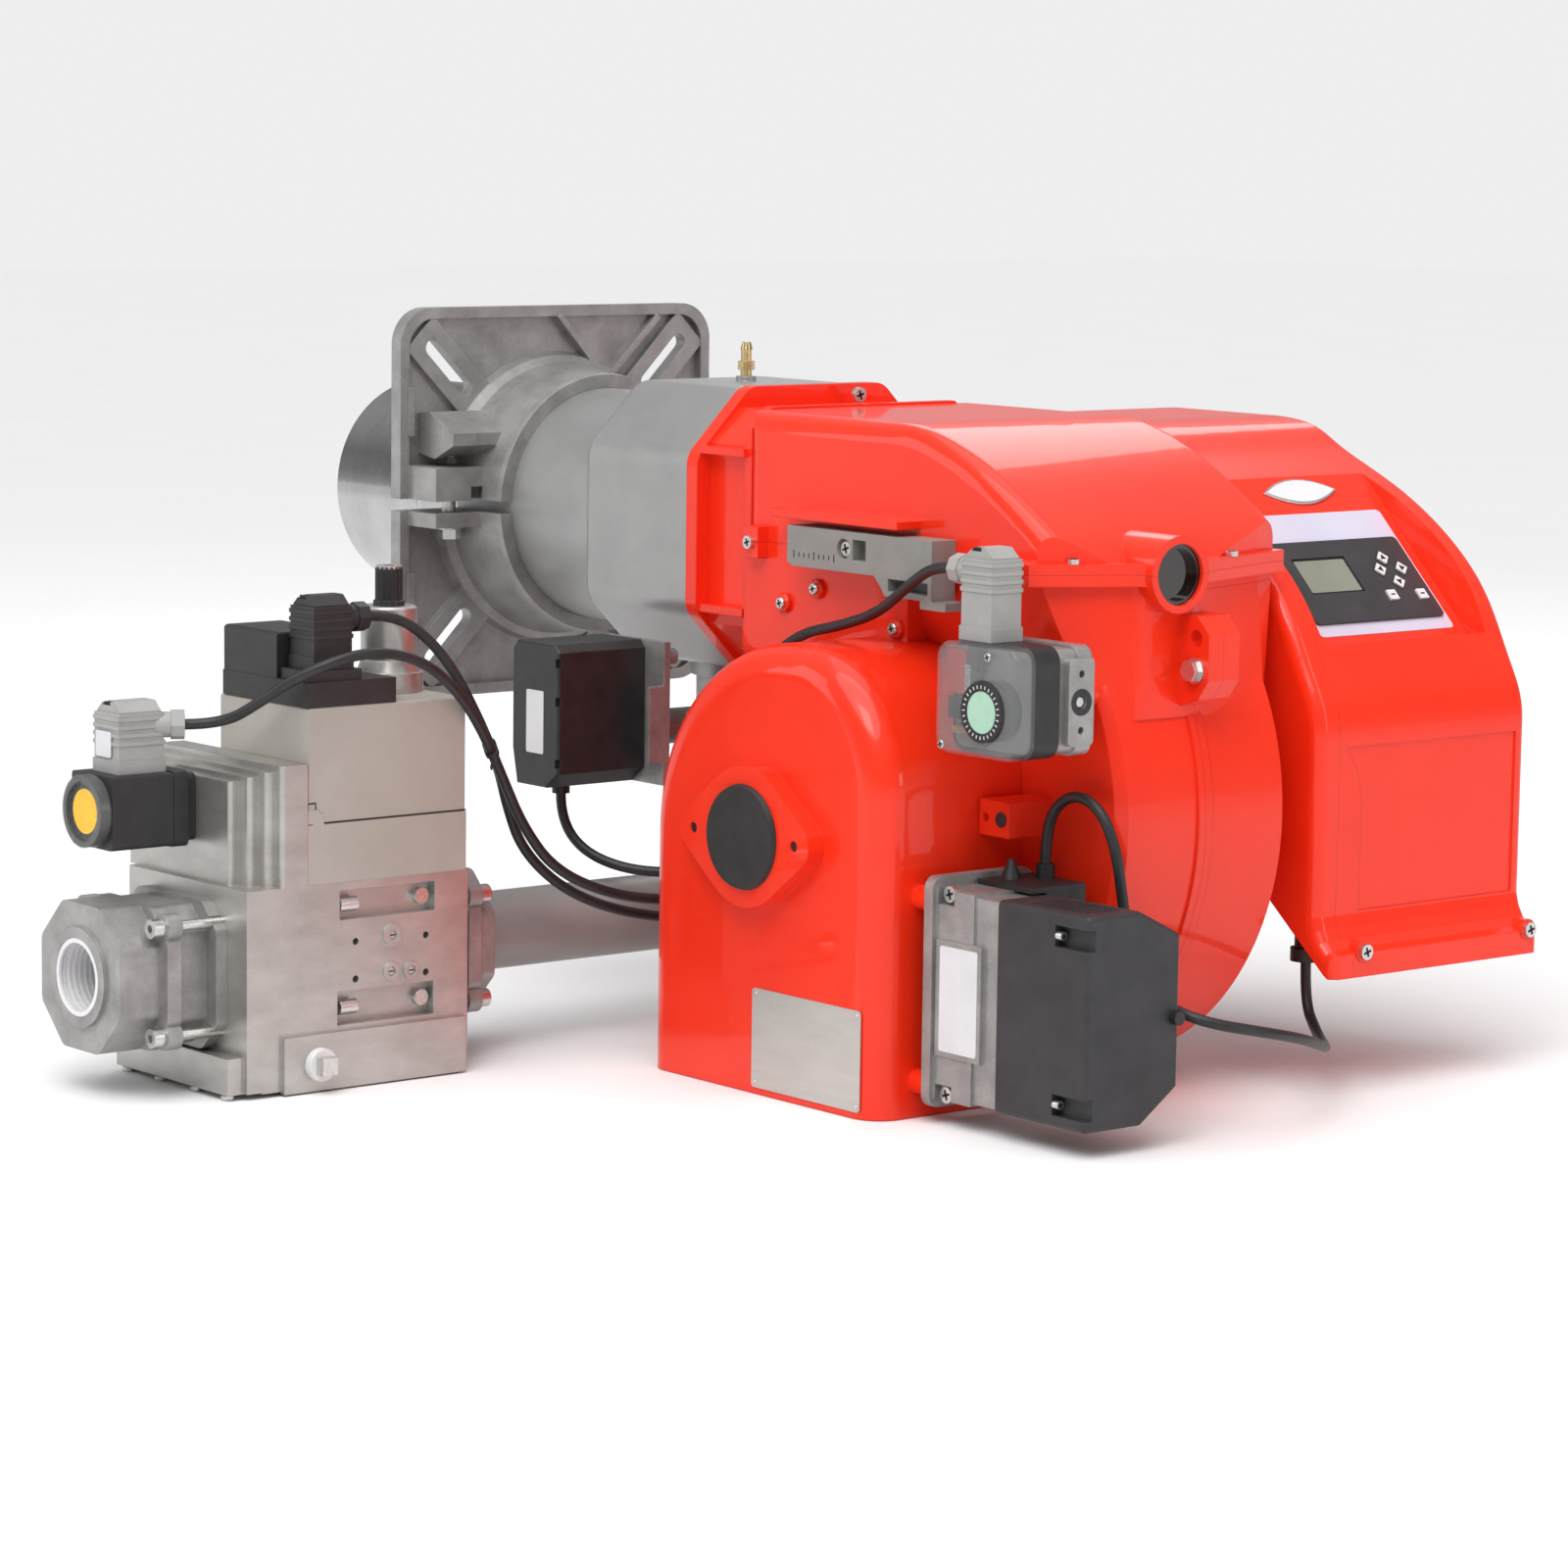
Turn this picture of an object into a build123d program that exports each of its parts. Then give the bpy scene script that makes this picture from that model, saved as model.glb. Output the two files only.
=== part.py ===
from build123d import *
import math
import os

# Industrial forced-draught gas burner.
# Frame: millimetres. Origin on the burner head's axis, at the face of the
# mounting flange that meets the boiler. -X is the firing direction, +X the rear
# of the burner, +Z up, -Y the side of the gas train and of the air intake.

os.makedirs("parts", exist_ok=True)

# ------------------------------------------------------------ driving sizes
FLOOR = -393.0            # level of the feet of the burner under the head axis
TUBE_R, TUBE_WALL = 89.0, 2.0
TUBE_TIP = -182.0         # mouth of the blast tube
NECK_R, NECK_BORE = 95.0, 89.1
FLANGE = 320.0            # square mounting flange
FLANGE_GAP = 10.0         # gap between the two clamp halves
SLOT_R, SLOT_CC, SLOT_W = 157.0, 46.0, 14.0
COLLAR_END = 78.0
RUN = 0.05                # running clearance of the sliding flange
HH_X0, HH_X1 = 203.0, 338.0          # head housing
HH_W, HH_H = 117.0, 110.0            # half width, half height
CASE_W = 118.0            # half width of the air casing
SEAM_TOP = 98.0           # top of the casing lid
VOL_X, VOL_Z, VOL_R = 587.0, -181.0, 211.5   # scroll of the fan
VOL_NEAR, VOL_FAR, VOL_SEAM = -84.0, 84.0, -2.0
WALL = 6.0
FAN_R = 124.0
SIGHT_Y, SIGHT_R = -30.0, 22.0
GX, GZ = 275.0, -306.0    # axis of the gas pipe: its X and its height
PIPE_R, PIPE_WALL = 30.15, 3.6       # 2 inch steel pipe, 60.3 outside
BOX_X0, BOX_X1 = 423.0, 691.0        # air intake box
BOX_Y0, BOX_Y1 = -220.0, -84.3
DAMPER_Y, DAMPER_Z = -155.0, -300.0
COV_Y0, COV_Y1 = 140.0, 342.0        # control cover
CORD = 4.0                # radius of the control cables


def facing_x(x, y=0.0, z=0.0):
    """Plane whose normal is +X; sketch axes are Y and Z."""
    return Plane((x, y, z), x_dir=(0, 1, 0), z_dir=(1, 0, 0))


def facing_near(y, x=0.0, z=0.0):
    """Plane whose normal is -Y; sketch axes are X and Z."""
    return Plane((x, y, z), x_dir=(1, 0, 0), z_dir=(0, -1, 0))


def level(z, x=0.0, y=0.0):
    """Plane whose normal is +Z; sketch axes are X and Y."""
    return Plane((x, y, z), x_dir=(1, 0, 0), z_dir=(0, 0, 1))


# ============================================================ combustion head
with BuildPart() as blast_tube:
    with BuildSketch(Plane.XZ):
        Polygon((TUBE_TIP, TUBE_R - TUBE_WALL), (TUBE_TIP, TUBE_R), (-66, TUBE_R), (-62, TUBE_R + 1.6),
                (-58, TUBE_R), (66, TUBE_R), (66, TUBE_R - TUBE_WALL), align=None)
    revolve(axis=Axis.X)
blast_tube.part.label = "blast_tube"
export_step(blast_tube.part, "parts/blast_tube.step")

with BuildPart() as neck_tube:
    with BuildSketch(facing_x(2)):
        Circle(NECK_R)
        Circle(NECK_BORE, mode=Mode.SUBTRACT)
    extrude(amount=220)
neck_tube.part.label = "neck_tube"
export_step(neck_tube.part, "parts/neck_tube.step")

# gas distribution head: elbow inside the housing, central tube and spider
with BuildPart() as gas_head:
    with BuildSketch(facing_x(-120)):
        Circle(28)
    extrude(amount=GX + 30 + 120)
    with BuildSketch(level(-116)):
        with Locations((GX, 0)):
            Circle(30)
    extrude(amount=116)
    with BuildSketch(facing_x(-134)):
        Circle(42)
    extrude(amount=14)
    for ang in (90, 210, 330):
        with BuildSketch(facing_x(-60)):
            with Locations(Rotation(0, 0, ang)):
                with Locations((40, 0)):
                    Rectangle(34, 16)
        extrude(amount=12)
    with BuildSketch(facing_x(-130)):
        Circle(24)
    extrude(amount=GX + 130 + 20, mode=Mode.SUBTRACT)
    with BuildSketch(level(-117)):
        with Locations((GX, 0)):
            Circle(26)
    extrude(amount=117, mode=Mode.SUBTRACT)
    # nozzle holes in the gas ring
    with BuildSketch(facing_x(-135)):
        with PolarLocations(34, 10):
            Circle(2.6)
    extrude(amount=10, mode=Mode.SUBTRACT)
    with BuildSketch(facing_x(-131)):
        Circle(38)
        Circle(24, mode=Mode.SUBTRACT)
    extrude(amount=8, mode=Mode.SUBTRACT)
    # holes that carry the electrodes
    with BuildSketch(facing_x(-61)):
        with PolarLocations(50, 3, start_angle=90):
            Circle(5.05)
    extrude(amount=14, mode=Mode.SUBTRACT)
gas_head.part.label = "gas_head"
export_step(gas_head.part, "parts/gas_head.step")

with BuildPart() as diffuser_disc:
    with BuildSketch(facing_x(-150)):
        Circle(74)
        Circle(20, mode=Mode.SUBTRACT)
        with PolarLocations(52, 16):
            with Locations(Rotation(0, 0, 24)):
                Rectangle(34, 5, mode=Mode.SUBTRACT)
    extrude(amount=2)
    with BuildSketch(facing_x(-148)):
        Circle(30)
        Circle(26, mode=Mode.SUBTRACT)
        with PolarLocations(28, 6):
            Circle(1.4, mode=Mode.SUBTRACT)
    extrude(amount=14)
diffuser_disc.part.label = "diffuser_disc"
export_step(diffuser_disc.part, "parts/diffuser_disc.step")

# two ignition electrodes and one flame probe, ceramic bodies and steel wires
with BuildPart() as electrodes:
    for ang in (90, 210, 330):
        ey, ez = 50 * math.cos(math.radians(ang)), 50 * math.sin(math.radians(ang))
        with BuildSketch(facing_x(-110)):
            with Locations((ey, ez)):
                Circle(5.0)
        extrude(amount=110)
        with BuildSketch(facing_x(-140)):
            with Locations((ey, ez)):
                Circle(1.5)
        extrude(amount=30)
electrodes.part.label = "electrodes"
export_step(electrodes.part, "parts/electrodes.step")

# ============================================================ clamp flange
for half, s in (("upper", 1), ("lower", -1)):
    with BuildPart() as flange_half:
        with BuildSketch(facing_x(0)):
            RectangleRounded(FLANGE, FLANGE, 30)
        extrude(amount=6)
        with BuildSketch(facing_x(6)):
            RectangleRounded(FLANGE, FLANGE, 30)
            RectangleRounded(FLANGE - 18, FLANGE - 18, 24, mode=Mode.SUBTRACT)
        extrude(amount=7)
        # raised pads along the slots
        with BuildSketch(facing_x(6)):
            for ang in (45, 135, 225, 315):
                with Locations(Rotation(0, 0, ang)):
                    with Locations((150, 0)):
                        Rectangle(96, 38)
        extrude(amount=6)
        # ribs that stiffen the plate
        with BuildSketch(facing_x(6)):
            for y0, z0, y1, z1 in ((0, 152, 44, 104), (104, 150, 52, 100)):
                m = math.hypot(y1 - y0, z1 - z0)
                a = math.degrees(math.atan2(z1 - z0, y1 - y0))
                with Locations(((y0 + y1) / 2, s * (z0 + z1) / 2)):
                    with Locations(Rotation(0, 0, s * a)):
                        Rectangle(m, 5)
            with Locations((-150, s * 76)):
                Rectangle(6, 40)
        extrude(amount=9)
        # collar, slightly conical, with a bead at its end
        with BuildSketch(Plane.XZ):
            Polygon((5, 90), (5, 122), (14, 119), (18, 113), (70, 105), (72, 107), (COLLAR_END, 106),
                    (COLLAR_END, 90), align=None)
        revolve(axis=Axis.X)
        # clamp ears
        ear = 27 if s > 0 else 12
        for side in (-1, 1):
            with Locations((29, side * 121, s * (FLANGE_GAP / 2 + ear / 2))):
                Box(46, 62, ear)
        # gussets above the ears
        if s > 0:
            for side in (-1, 1):
                with BuildSketch(facing_near(0, 0, 0).offset(88 if side < 0 else -138)):
                    Polygon((5, 42), (5, 74), (22, 76), (56, 60), (56, 50), (30, 38), align=None)
                extrude(amount=50)
        # bore for the neck tube, and the gap between the halves
        with BuildSketch(facing_x(-1)):
            Circle(NECK_R + RUN)
        extrude(amount=COLLAR_END + 2, mode=Mode.SUBTRACT)
        with Locations((40, 0, -s * (200 - FLANGE_GAP / 2))):
            Box(120, 400, 400, mode=Mode.SUBTRACT)
        # radial stud slots at 45 degrees
        with BuildSketch(facing_x(-1)):
            for ang in (45, 135, 225, 315):
                with Locations(Rotation(0, 0, ang)):
                    with Locations((SLOT_R, 0)):
                        SlotCenterToCenter(SLOT_CC, SLOT_W)
        extrude(amount=60, mode=Mode.SUBTRACT)
        # clamp bolt holes and the notch in the upper ears
        with BuildSketch(level(-60)):
            with Locations((30, -124), (30, 124)):
                Circle(6.02)
        extrude(amount=120, mode=Mode.SUBTRACT)
        if s > 0:
            with Locations((44, -108, 10.5), (44, 108, 10.5)):
                Box(18, 18, 11.01, mode=Mode.SUBTRACT)
    if s > 0:
        flange_upper = flange_half
    else:
        flange_lower = flange_half
flange_upper.part.label = "flange_upper"
export_step(flange_upper.part, "parts/flange_upper.step")
flange_lower.part.label = "flange_lower"
export_step(flange_lower.part, "parts/flange_lower.step")

with BuildPart() as flange_clamp_bolts:
    with BuildSketch(level(-17)):
        with Locations((30, -124), (30, 124)):
            Circle(6.0)
    extrude(amount=46)
    with BuildSketch(level(-19.5)):
        with Locations((30, -124), (30, 124)):
            Circle(11.5)
    extrude(amount=2.5)
    with BuildSketch(level(-27.5)):
        with Locations((30, -124), (30, 124)):
            RegularPolygon(10.4, 6)
    extrude(amount=8)
flange_clamp_bolts.part.label = "flange_clamp_bolts"
export_step(flange_clamp_bolts.part, "parts/flange_clamp_bolts.step")

# ============================================================ head housing
def octagon(w, h, side, top):
    return [(-w, -side), (-w, side), (-top, h), (top, h), (w, side), (w, -side), (top, -h), (-top, -h)]


with BuildPart() as head_housing:
    with BuildSketch(facing_x(HH_X0)):
        Polygon(*octagon(HH_W, HH_H, 60, 66), align=None)
    extrude(amount=HH_X1 - HH_X0)
    fillet(head_housing.edges().filter_by(Axis.X), 26)
    fillet(head_housing.faces().sort_by(Axis.X)[0].edges(), 9)
    with BuildSketch(facing_x(HH_X0 + 8)):
        Polygon(*octagon(HH_W - 7, HH_H - 7, 57, 62), align=None)
    extrude(amount=HH_X1 - HH_X0, mode=Mode.SUBTRACT)
    with BuildSketch(level(-122)):
        with Locations((GX, 0)):
            Circle(50)
    extrude(amount=16)
    with BuildSketch(level(HH_H - 1)):
        with Locations((262, 0)):
            Circle(8)
    extrude(amount=5)
    with BuildSketch(facing_x(HH_X0 - 1)):
        Circle(NECK_R + 0.02)
    extrude(amount=12, mode=Mode.SUBTRACT)
    with BuildSketch(level(-123)):
        with Locations((GX, 0)):
            Circle(30.02)
    extrude(amount=25, mode=Mode.SUBTRACT)
head_housing.part.label = "head_housing"
export_step(head_housing.part, "parts/head_housing.step")

with BuildPart() as pressure_nipple:
    with BuildSketch(level(114)):
        with Locations((262, 0)):
            Circle(4.5)
    extrude(amount=5)
    with BuildSketch(level(119)):
        with Locations((262, 0)):
            RegularPolygon(6.8, 6)
    extrude(amount=7)
    with BuildSketch(level(126)):
        with Locations((262, 0)):
            Circle(4.2)
    extrude(amount=9)
    with BuildSketch(level(135)):
        with Locations((262, 0)):
            Circle(4.8)
    extrude(amount=6, taper=14)
pressure_nipple.part.label = "pressure_nipple"
export_step(pressure_nipple.part, "parts/pressure_nipple.step")

# ============================================================ red air casing
# outline of the seam flange at the rear, seen from above
SEAM_OUT = [(656, -CASE_W), (668, -131), (745, -131), (783, -62), (790, -56), (790, -4), (785, 6), (757, 96),
            (750, CASE_W)]
# outline of the casing itself at the seam, seen from above
PLAN = [(409, -CASE_W), (739, -CASE_W), (774, -60), (782, -52), (782, -6), (776, 4), (748, 92), (738, CASE_W),
        (409, CASE_W)]

with BuildPart() as lid_inside:
    with BuildSketch(facing_near(CASE_W - 5)):
        with BuildLine():
            Polyline((765, -1), (415, -1), (415, SEAM_TOP - 5), (580, SEAM_TOP - 5))
            Spline((580, SEAM_TOP - 5), (628, 84), (677, 63), (726, 33), (765, -1), tangents=[(1, 0), (0.72, -1)])
        make_face()
    extrude(amount=2 * CASE_W - 10)
    with BuildSketch(level(-2)):
        Polygon((400, -CASE_W + 5), (735, -CASE_W + 5), (768, -56), (768, 0), (743, 86), (734, CASE_W - 5),
                (400, CASE_W - 5), align=None)
    extrude(amount=130, mode=Mode.INTERSECT)

with BuildPart() as casing_lid:
    with BuildSketch(facing_near(CASE_W)):
        with BuildLine():
            l1 = Polyline((772, 0), (409, 0), (409, SEAM_TOP), (580, SEAM_TOP))
            l2 = Spline((580, SEAM_TOP), (630, 89), (680, 68), (730, 38), (772, 0), tangents=[(1, 0), (0.72, -1)])
        make_face()
    extrude(amount=2 * CASE_W)
    top_edges = casing_lid.faces().filter_by(Plane.XZ).edges().filter_by(lambda e: e.center().Z > 3)
    fillet(top_edges, 15)
    with BuildSketch(level(0)):
        Polygon(*PLAN, align=None)
    extrude(amount=120, mode=Mode.INTERSECT)
    # lip along the seam
    with BuildSketch(level(0)):
        Polygon(*(SEAM_OUT + [(600, CASE_W), (600, -CASE_W)]), align=None)
    extrude(amount=8)
    # ledge over the cable holder
    with Locations((540, -CASE_W - 11, 26)):
        Box(146, 24, 6)
    # boss of the front seam screw
    with Locations((428, -CASE_W - 4, 6)):
        Box(18, 12, 12)
    # neck of the sight glass
    with BuildSketch(facing_x(720, SIGHT_Y, 0)):
        Circle(28)
    extrude(amount=75)
    with Locations((700, 0, -150)):
        Box(700, 400, 300, mode=Mode.SUBTRACT)
    add(lid_inside.part, mode=Mode.SUBTRACT)
    with BuildSketch(facing_x(700, SIGHT_Y, 0)):
        Circle(SIGHT_R + 0.05)
    extrude(amount=120, mode=Mode.SUBTRACT)
    # passage from the duct into the front frame
    with Locations((410, 0, 44)):
        Box(20, 2 * CASE_W - 40, 90, mode=Mode.SUBTRACT)
casing_lid.part.label = "casing_lid"
export_step(casing_lid.part, "parts/casing_lid.step")

with BuildPart() as duct:
    # duct between the scroll and the head
    with BuildSketch(facing_near(CASE_W)):
        Polygon((409, 0), (409, -96), (600, -96), (600, 0), align=None)
    extrude(amount=2 * CASE_W)
    fillet(duct.edges().filter_by(Axis.X).filter_by(lambda e: e.center().Z < -90), 16)
    # rear of the duct narrows down to the scroll
    with BuildSketch(level(0)):
        Polygon((599, -CASE_W), (739, -CASE_W), (774, -60), (782, -52), (782, -6), (776, 4), (748, 92),
                (738, CASE_W), (599, CASE_W), align=None)
    with BuildSketch(level(-104)):
        Polygon((599, VOL_NEAR), (766, VOL_NEAR), (783, -60), (783.4, -52), (783.4, -6), (783, 4), (776, VOL_FAR - 8),
                (766, VOL_FAR), (599, VOL_FAR), align=None)
    loft()

with BuildPart() as air_casing:
    add(duct.part)
    # scroll
    with BuildSketch(facing_near(VOL_FAR)):
        with Locations((VOL_X, VOL_Z)):
            Circle(VOL_R - 2)
    extrude(amount=VOL_FAR - VOL_NEAR)
    scroll_rims = air_casing.edges().filter_by(GeomType.CIRCLE).filter_by(lambda e: e.radius > 200)
    chamfer(scroll_rims, 7)
    # joint flange of the two scroll halves
    with BuildSketch(facing_near(VOL_SEAM + 7)):
        with Locations((VOL_X, VOL_Z)):
            Circle(VOL_R)
    extrude(amount=14)
    # lip along the seam
    with BuildSketch(level(-8)):
        Polygon(*(SEAM_OUT + [(600, CASE_W), (600, -CASE_W)]), align=None)
    extrude(amount=8)
    with BuildSketch(facing_x(720, SIGHT_Y, 0)):
        Circle(28)
    extrude(amount=75)
    with BuildSketch(facing_x(720, SIGHT_Y, -10)):
        Rectangle(24, 40)
    extrude(amount=60)
    # front frame and its neck
    with BuildSketch(facing_x(HH_X1)):
        Polygon(*octagon(119, 112, 60, 67), align=None)
    extrude(amount=13)
    fillet(air_casing.edges().filter_by(Axis.X).filter_by(lambda e: e.center().X < 352), 20)
    with BuildSketch(facing_x(HH_X1 + 13)):
        Polygon(*octagon(105, 96, 70, 76), align=None)
    extrude(amount=50)
    with BuildSketch(facing_x(400)):
        Polygon(*octagon(112, 100, 84, 92), align=None)
    extrude(amount=9)
    for z in (65, -57):
        with Locations((377, 0, z)):
            Box(54, 2 * 116, 6)
    with Locations((428, -CASE_W - 4, -6)):
        Box(18, 12, 12)
    # pads of the intake box, the pressure switch and the fan motor
    with Locations((708, -105, -178)):
        Box(32, 42, 26)
    with BuildSketch(facing_near(-120)):
        with Locations((699, -178)):
            Circle(3)
    extrude(amount=10, mode=Mode.SUBTRACT)
    with BuildSketch(facing_near(VOL_NEAR + 2)):
        with Locations((757, -84)):
            Circle(13)
    extrude(amount=36)
    # bolt lug on the scroll
    with BuildSketch(facing_near(14)):
        Polygon((770, -30), (800, -30), (812, -42), (812, -76), (802, -90), (770, -100), align=None)
    extrude(amount=31)
    with BuildSketch(facing_near(-10)):
        with Locations((799, -46)):
            Circle(6)
    extrude(amount=10, mode=Mode.SUBTRACT)
    # trim: nothing above the seam behind the frame
    with Locations((760, 0, 150)):
        Box(702, 400, 300, mode=Mode.SUBTRACT)
    # inside of the duct, the scroll and the frame
    with BuildSketch(facing_near(CASE_W - WALL)):
        Polygon((404, 1), (404, -90), (593, -90), (593, 1), align=None)
    extrude(amount=2 * (CASE_W - WALL), mode=Mode.SUBTRACT)
    with BuildSketch(level(1)):
        Polygon((592, -CASE_W + 6), (735, -CASE_W + 6), (767, -56), (767, 0), (743, 84), (734, CASE_W - 6),
                (592, CASE_W - 6), align=None)
    with BuildSketch(level(-104)):
        Polygon((592, VOL_NEAR + 6), (762, VOL_NEAR + 6), (774, -56), (774, 0), (768, VOL_FAR - 12), (760, VOL_FAR - 6),
                (592, VOL_FAR - 6), align=None)
    loft(mode=Mode.SUBTRACT)
    with BuildSketch(facing_near(VOL_FAR - WALL)):
        with Locations((VOL_X, VOL_Z)):
            Circle(VOL_R - 2 - WALL)
    extrude(amount=VOL_FAR - VOL_NEAR - 2 * WALL, mode=Mode.SUBTRACT)
    with BuildSketch(facing_x(HH_X1 - 1)):
        Polygon(*octagon(97, 88, 62, 68), align=None)
    extrude(amount=80, mode=Mode.SUBTRACT)
    with BuildSketch(facing_x(700, SIGHT_Y, 0)):
        Circle(SIGHT_R + 0.05)
    extrude(amount=120, mode=Mode.SUBTRACT)
    # eye of the fan, and the motor side
    with BuildSketch(facing_near(VOL_NEAR + 10)):
        with Locations((VOL_X, VOL_Z)):
            Circle(88)
    extrude(amount=20, mode=Mode.SUBTRACT)
    with BuildSketch(facing_near(VOL_FAR + 1)):
        with Locations((VOL_X, VOL_Z)):
            Circle(65.05)
    extrude(amount=10, mode=Mode.SUBTRACT)
whole_casing = air_casing.part

with BuildPart() as fan_casing_far:
    add(whole_casing)
    with Locations((650, 200 + VOL_SEAM, -212)):
        Box(450, 400, 396, mode=Mode.INTERSECT)
fan_casing_far.part.label = "fan_casing_far"
export_step(fan_casing_far.part, "parts/fan_casing_far.step")

with BuildPart() as fan_casing_near:
    add(whole_casing)
    with Locations((650, 200 + VOL_SEAM, -212)):
        Box(450, 400, 396, mode=Mode.SUBTRACT)
fan_casing_near.part.label = "fan_casing_near"
export_step(fan_casing_near.part, "parts/fan_casing_near.step")

print("casing solids", len(fan_casing_far.part.solids()), len(fan_casing_near.part.solids()), len(casing_lid.part.solids()))

# ============================================================ fasteners of the casing
with BuildPart() as casing_fasteners:
    # boss screw behind the front frame
    with BuildSketch(facing_x(HH_X1 + 28)):
        with Locations((28, 104)):
            Circle(6)
    extrude(amount=4)
    # seam screw, facing the gas side
    with BuildSketch(facing_near(-CASE_W - 10)):
        with Locations((428, 0)):
            Circle(5)
    extrude(amount=3.5)
    # two seam screws on the rear lip, two small screws on the side wall
    with BuildSketch(level(8)):
        with Locations((757.2, -99), (768.8, 46)):
            Circle(4.8)
    extrude(amount=3.5)
    # hexagon bolt of the scroll lug
    with BuildSketch(facing_near(-17)):
        with Locations((799, -69)):
            Circle(9.5)
    extrude(amount=2)
    with BuildSketch(facing_near(-19)):
        with Locations((799, -69)):
            RegularPolygon(8, 6)
    extrude(amount=6)
    # four bolts of the fan motor
    with BuildSketch(facing_near(95)):
        with Locations((VOL_X, VOL_Z)):
            with PolarLocations(89, 4, start_angle=45):
                RegularPolygon(7.5, 6)
    extrude(amount=-6)
    # corner screws of the control cover
    with BuildSketch(facing_x(813)):
        with Locations((150, -287), (328, -287)):
            Circle(5.8)
    extrude(amount=3.5)
    # screws of the damper actuator
    for z in (-239, -358):
        with BuildSketch(facing_x(842)):
            with Locations((-184, z)):
                Circle(3.2)
        extrude(amount=6)
    for z in (-225.5, -370.5):
        with BuildSketch(facing_near(-180)):
            with Locations((727, z)):
                Circle(6)
        extrude(amount=4)
casing_fasteners.part.label = "casing_fasteners"
export_step(casing_fasteners.part, "parts/casing_fasteners.step")

with BuildPart() as sight_glass:
    with BuildSketch(facing_x(762, SIGHT_Y, 0)):
        Circle(SIGHT_R)
    extrude(amount=30)
    with BuildSketch(facing_x(786, SIGHT_Y, 0)):
        Circle(SIGHT_R - 3)
    extrude(amount=7, mode=Mode.SUBTRACT)
    with BuildSketch(facing_x(761, SIGHT_Y, 0)):
        Circle(SIGHT_R - 3)
    extrude(amount=20, mode=Mode.SUBTRACT)
sight_glass.part.label = "sight_glass"
export_step(sight_glass.part, "parts/sight_glass.step")

# grey channel that clips on the side of the casing and holds the cables
with BuildPart() as cable_holder:
    with BuildSketch(facing_near(-CASE_W)):
        Polygon((488, 18), (488, -9), (494, -12), (588, -12), (596, -20), (600, -26), (652, -26), (652, 18), align=None)
    extrude(amount=23)
    with BuildSketch(facing_near(-CASE_W)):
        Rectangle(1, 1, mode=Mode.PRIVATE)
        Polygon((640, -26), (668, -26), (668, -32), (640, -32), align=None)
    extrude(amount=23)
    # square window, recess of the round screw
    with BuildSketch(facing_near(-CASE_W - 12)):
        with Locations((571, 5)):
            Rectangle(15, 15)
    extrude(amount=12, mode=Mode.SUBTRACT)
    with BuildSketch(facing_near(-CASE_W - 18)):
        with Locations((553, 5)):
            Circle(7.5)
    extrude(amount=6, mode=Mode.SUBTRACT)
    # lower pocket under the ledge
    with BuildSketch(facing_near(-CASE_W - 6)):
        Polygon((604, -22), (648, -22), (648, -13), (604, -13), align=None)
    extrude(amount=20, mode=Mode.SUBTRACT)
cable_holder.part.label = "cable_holder"
export_step(cable_holder.part, "parts/cable_holder.step")

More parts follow.
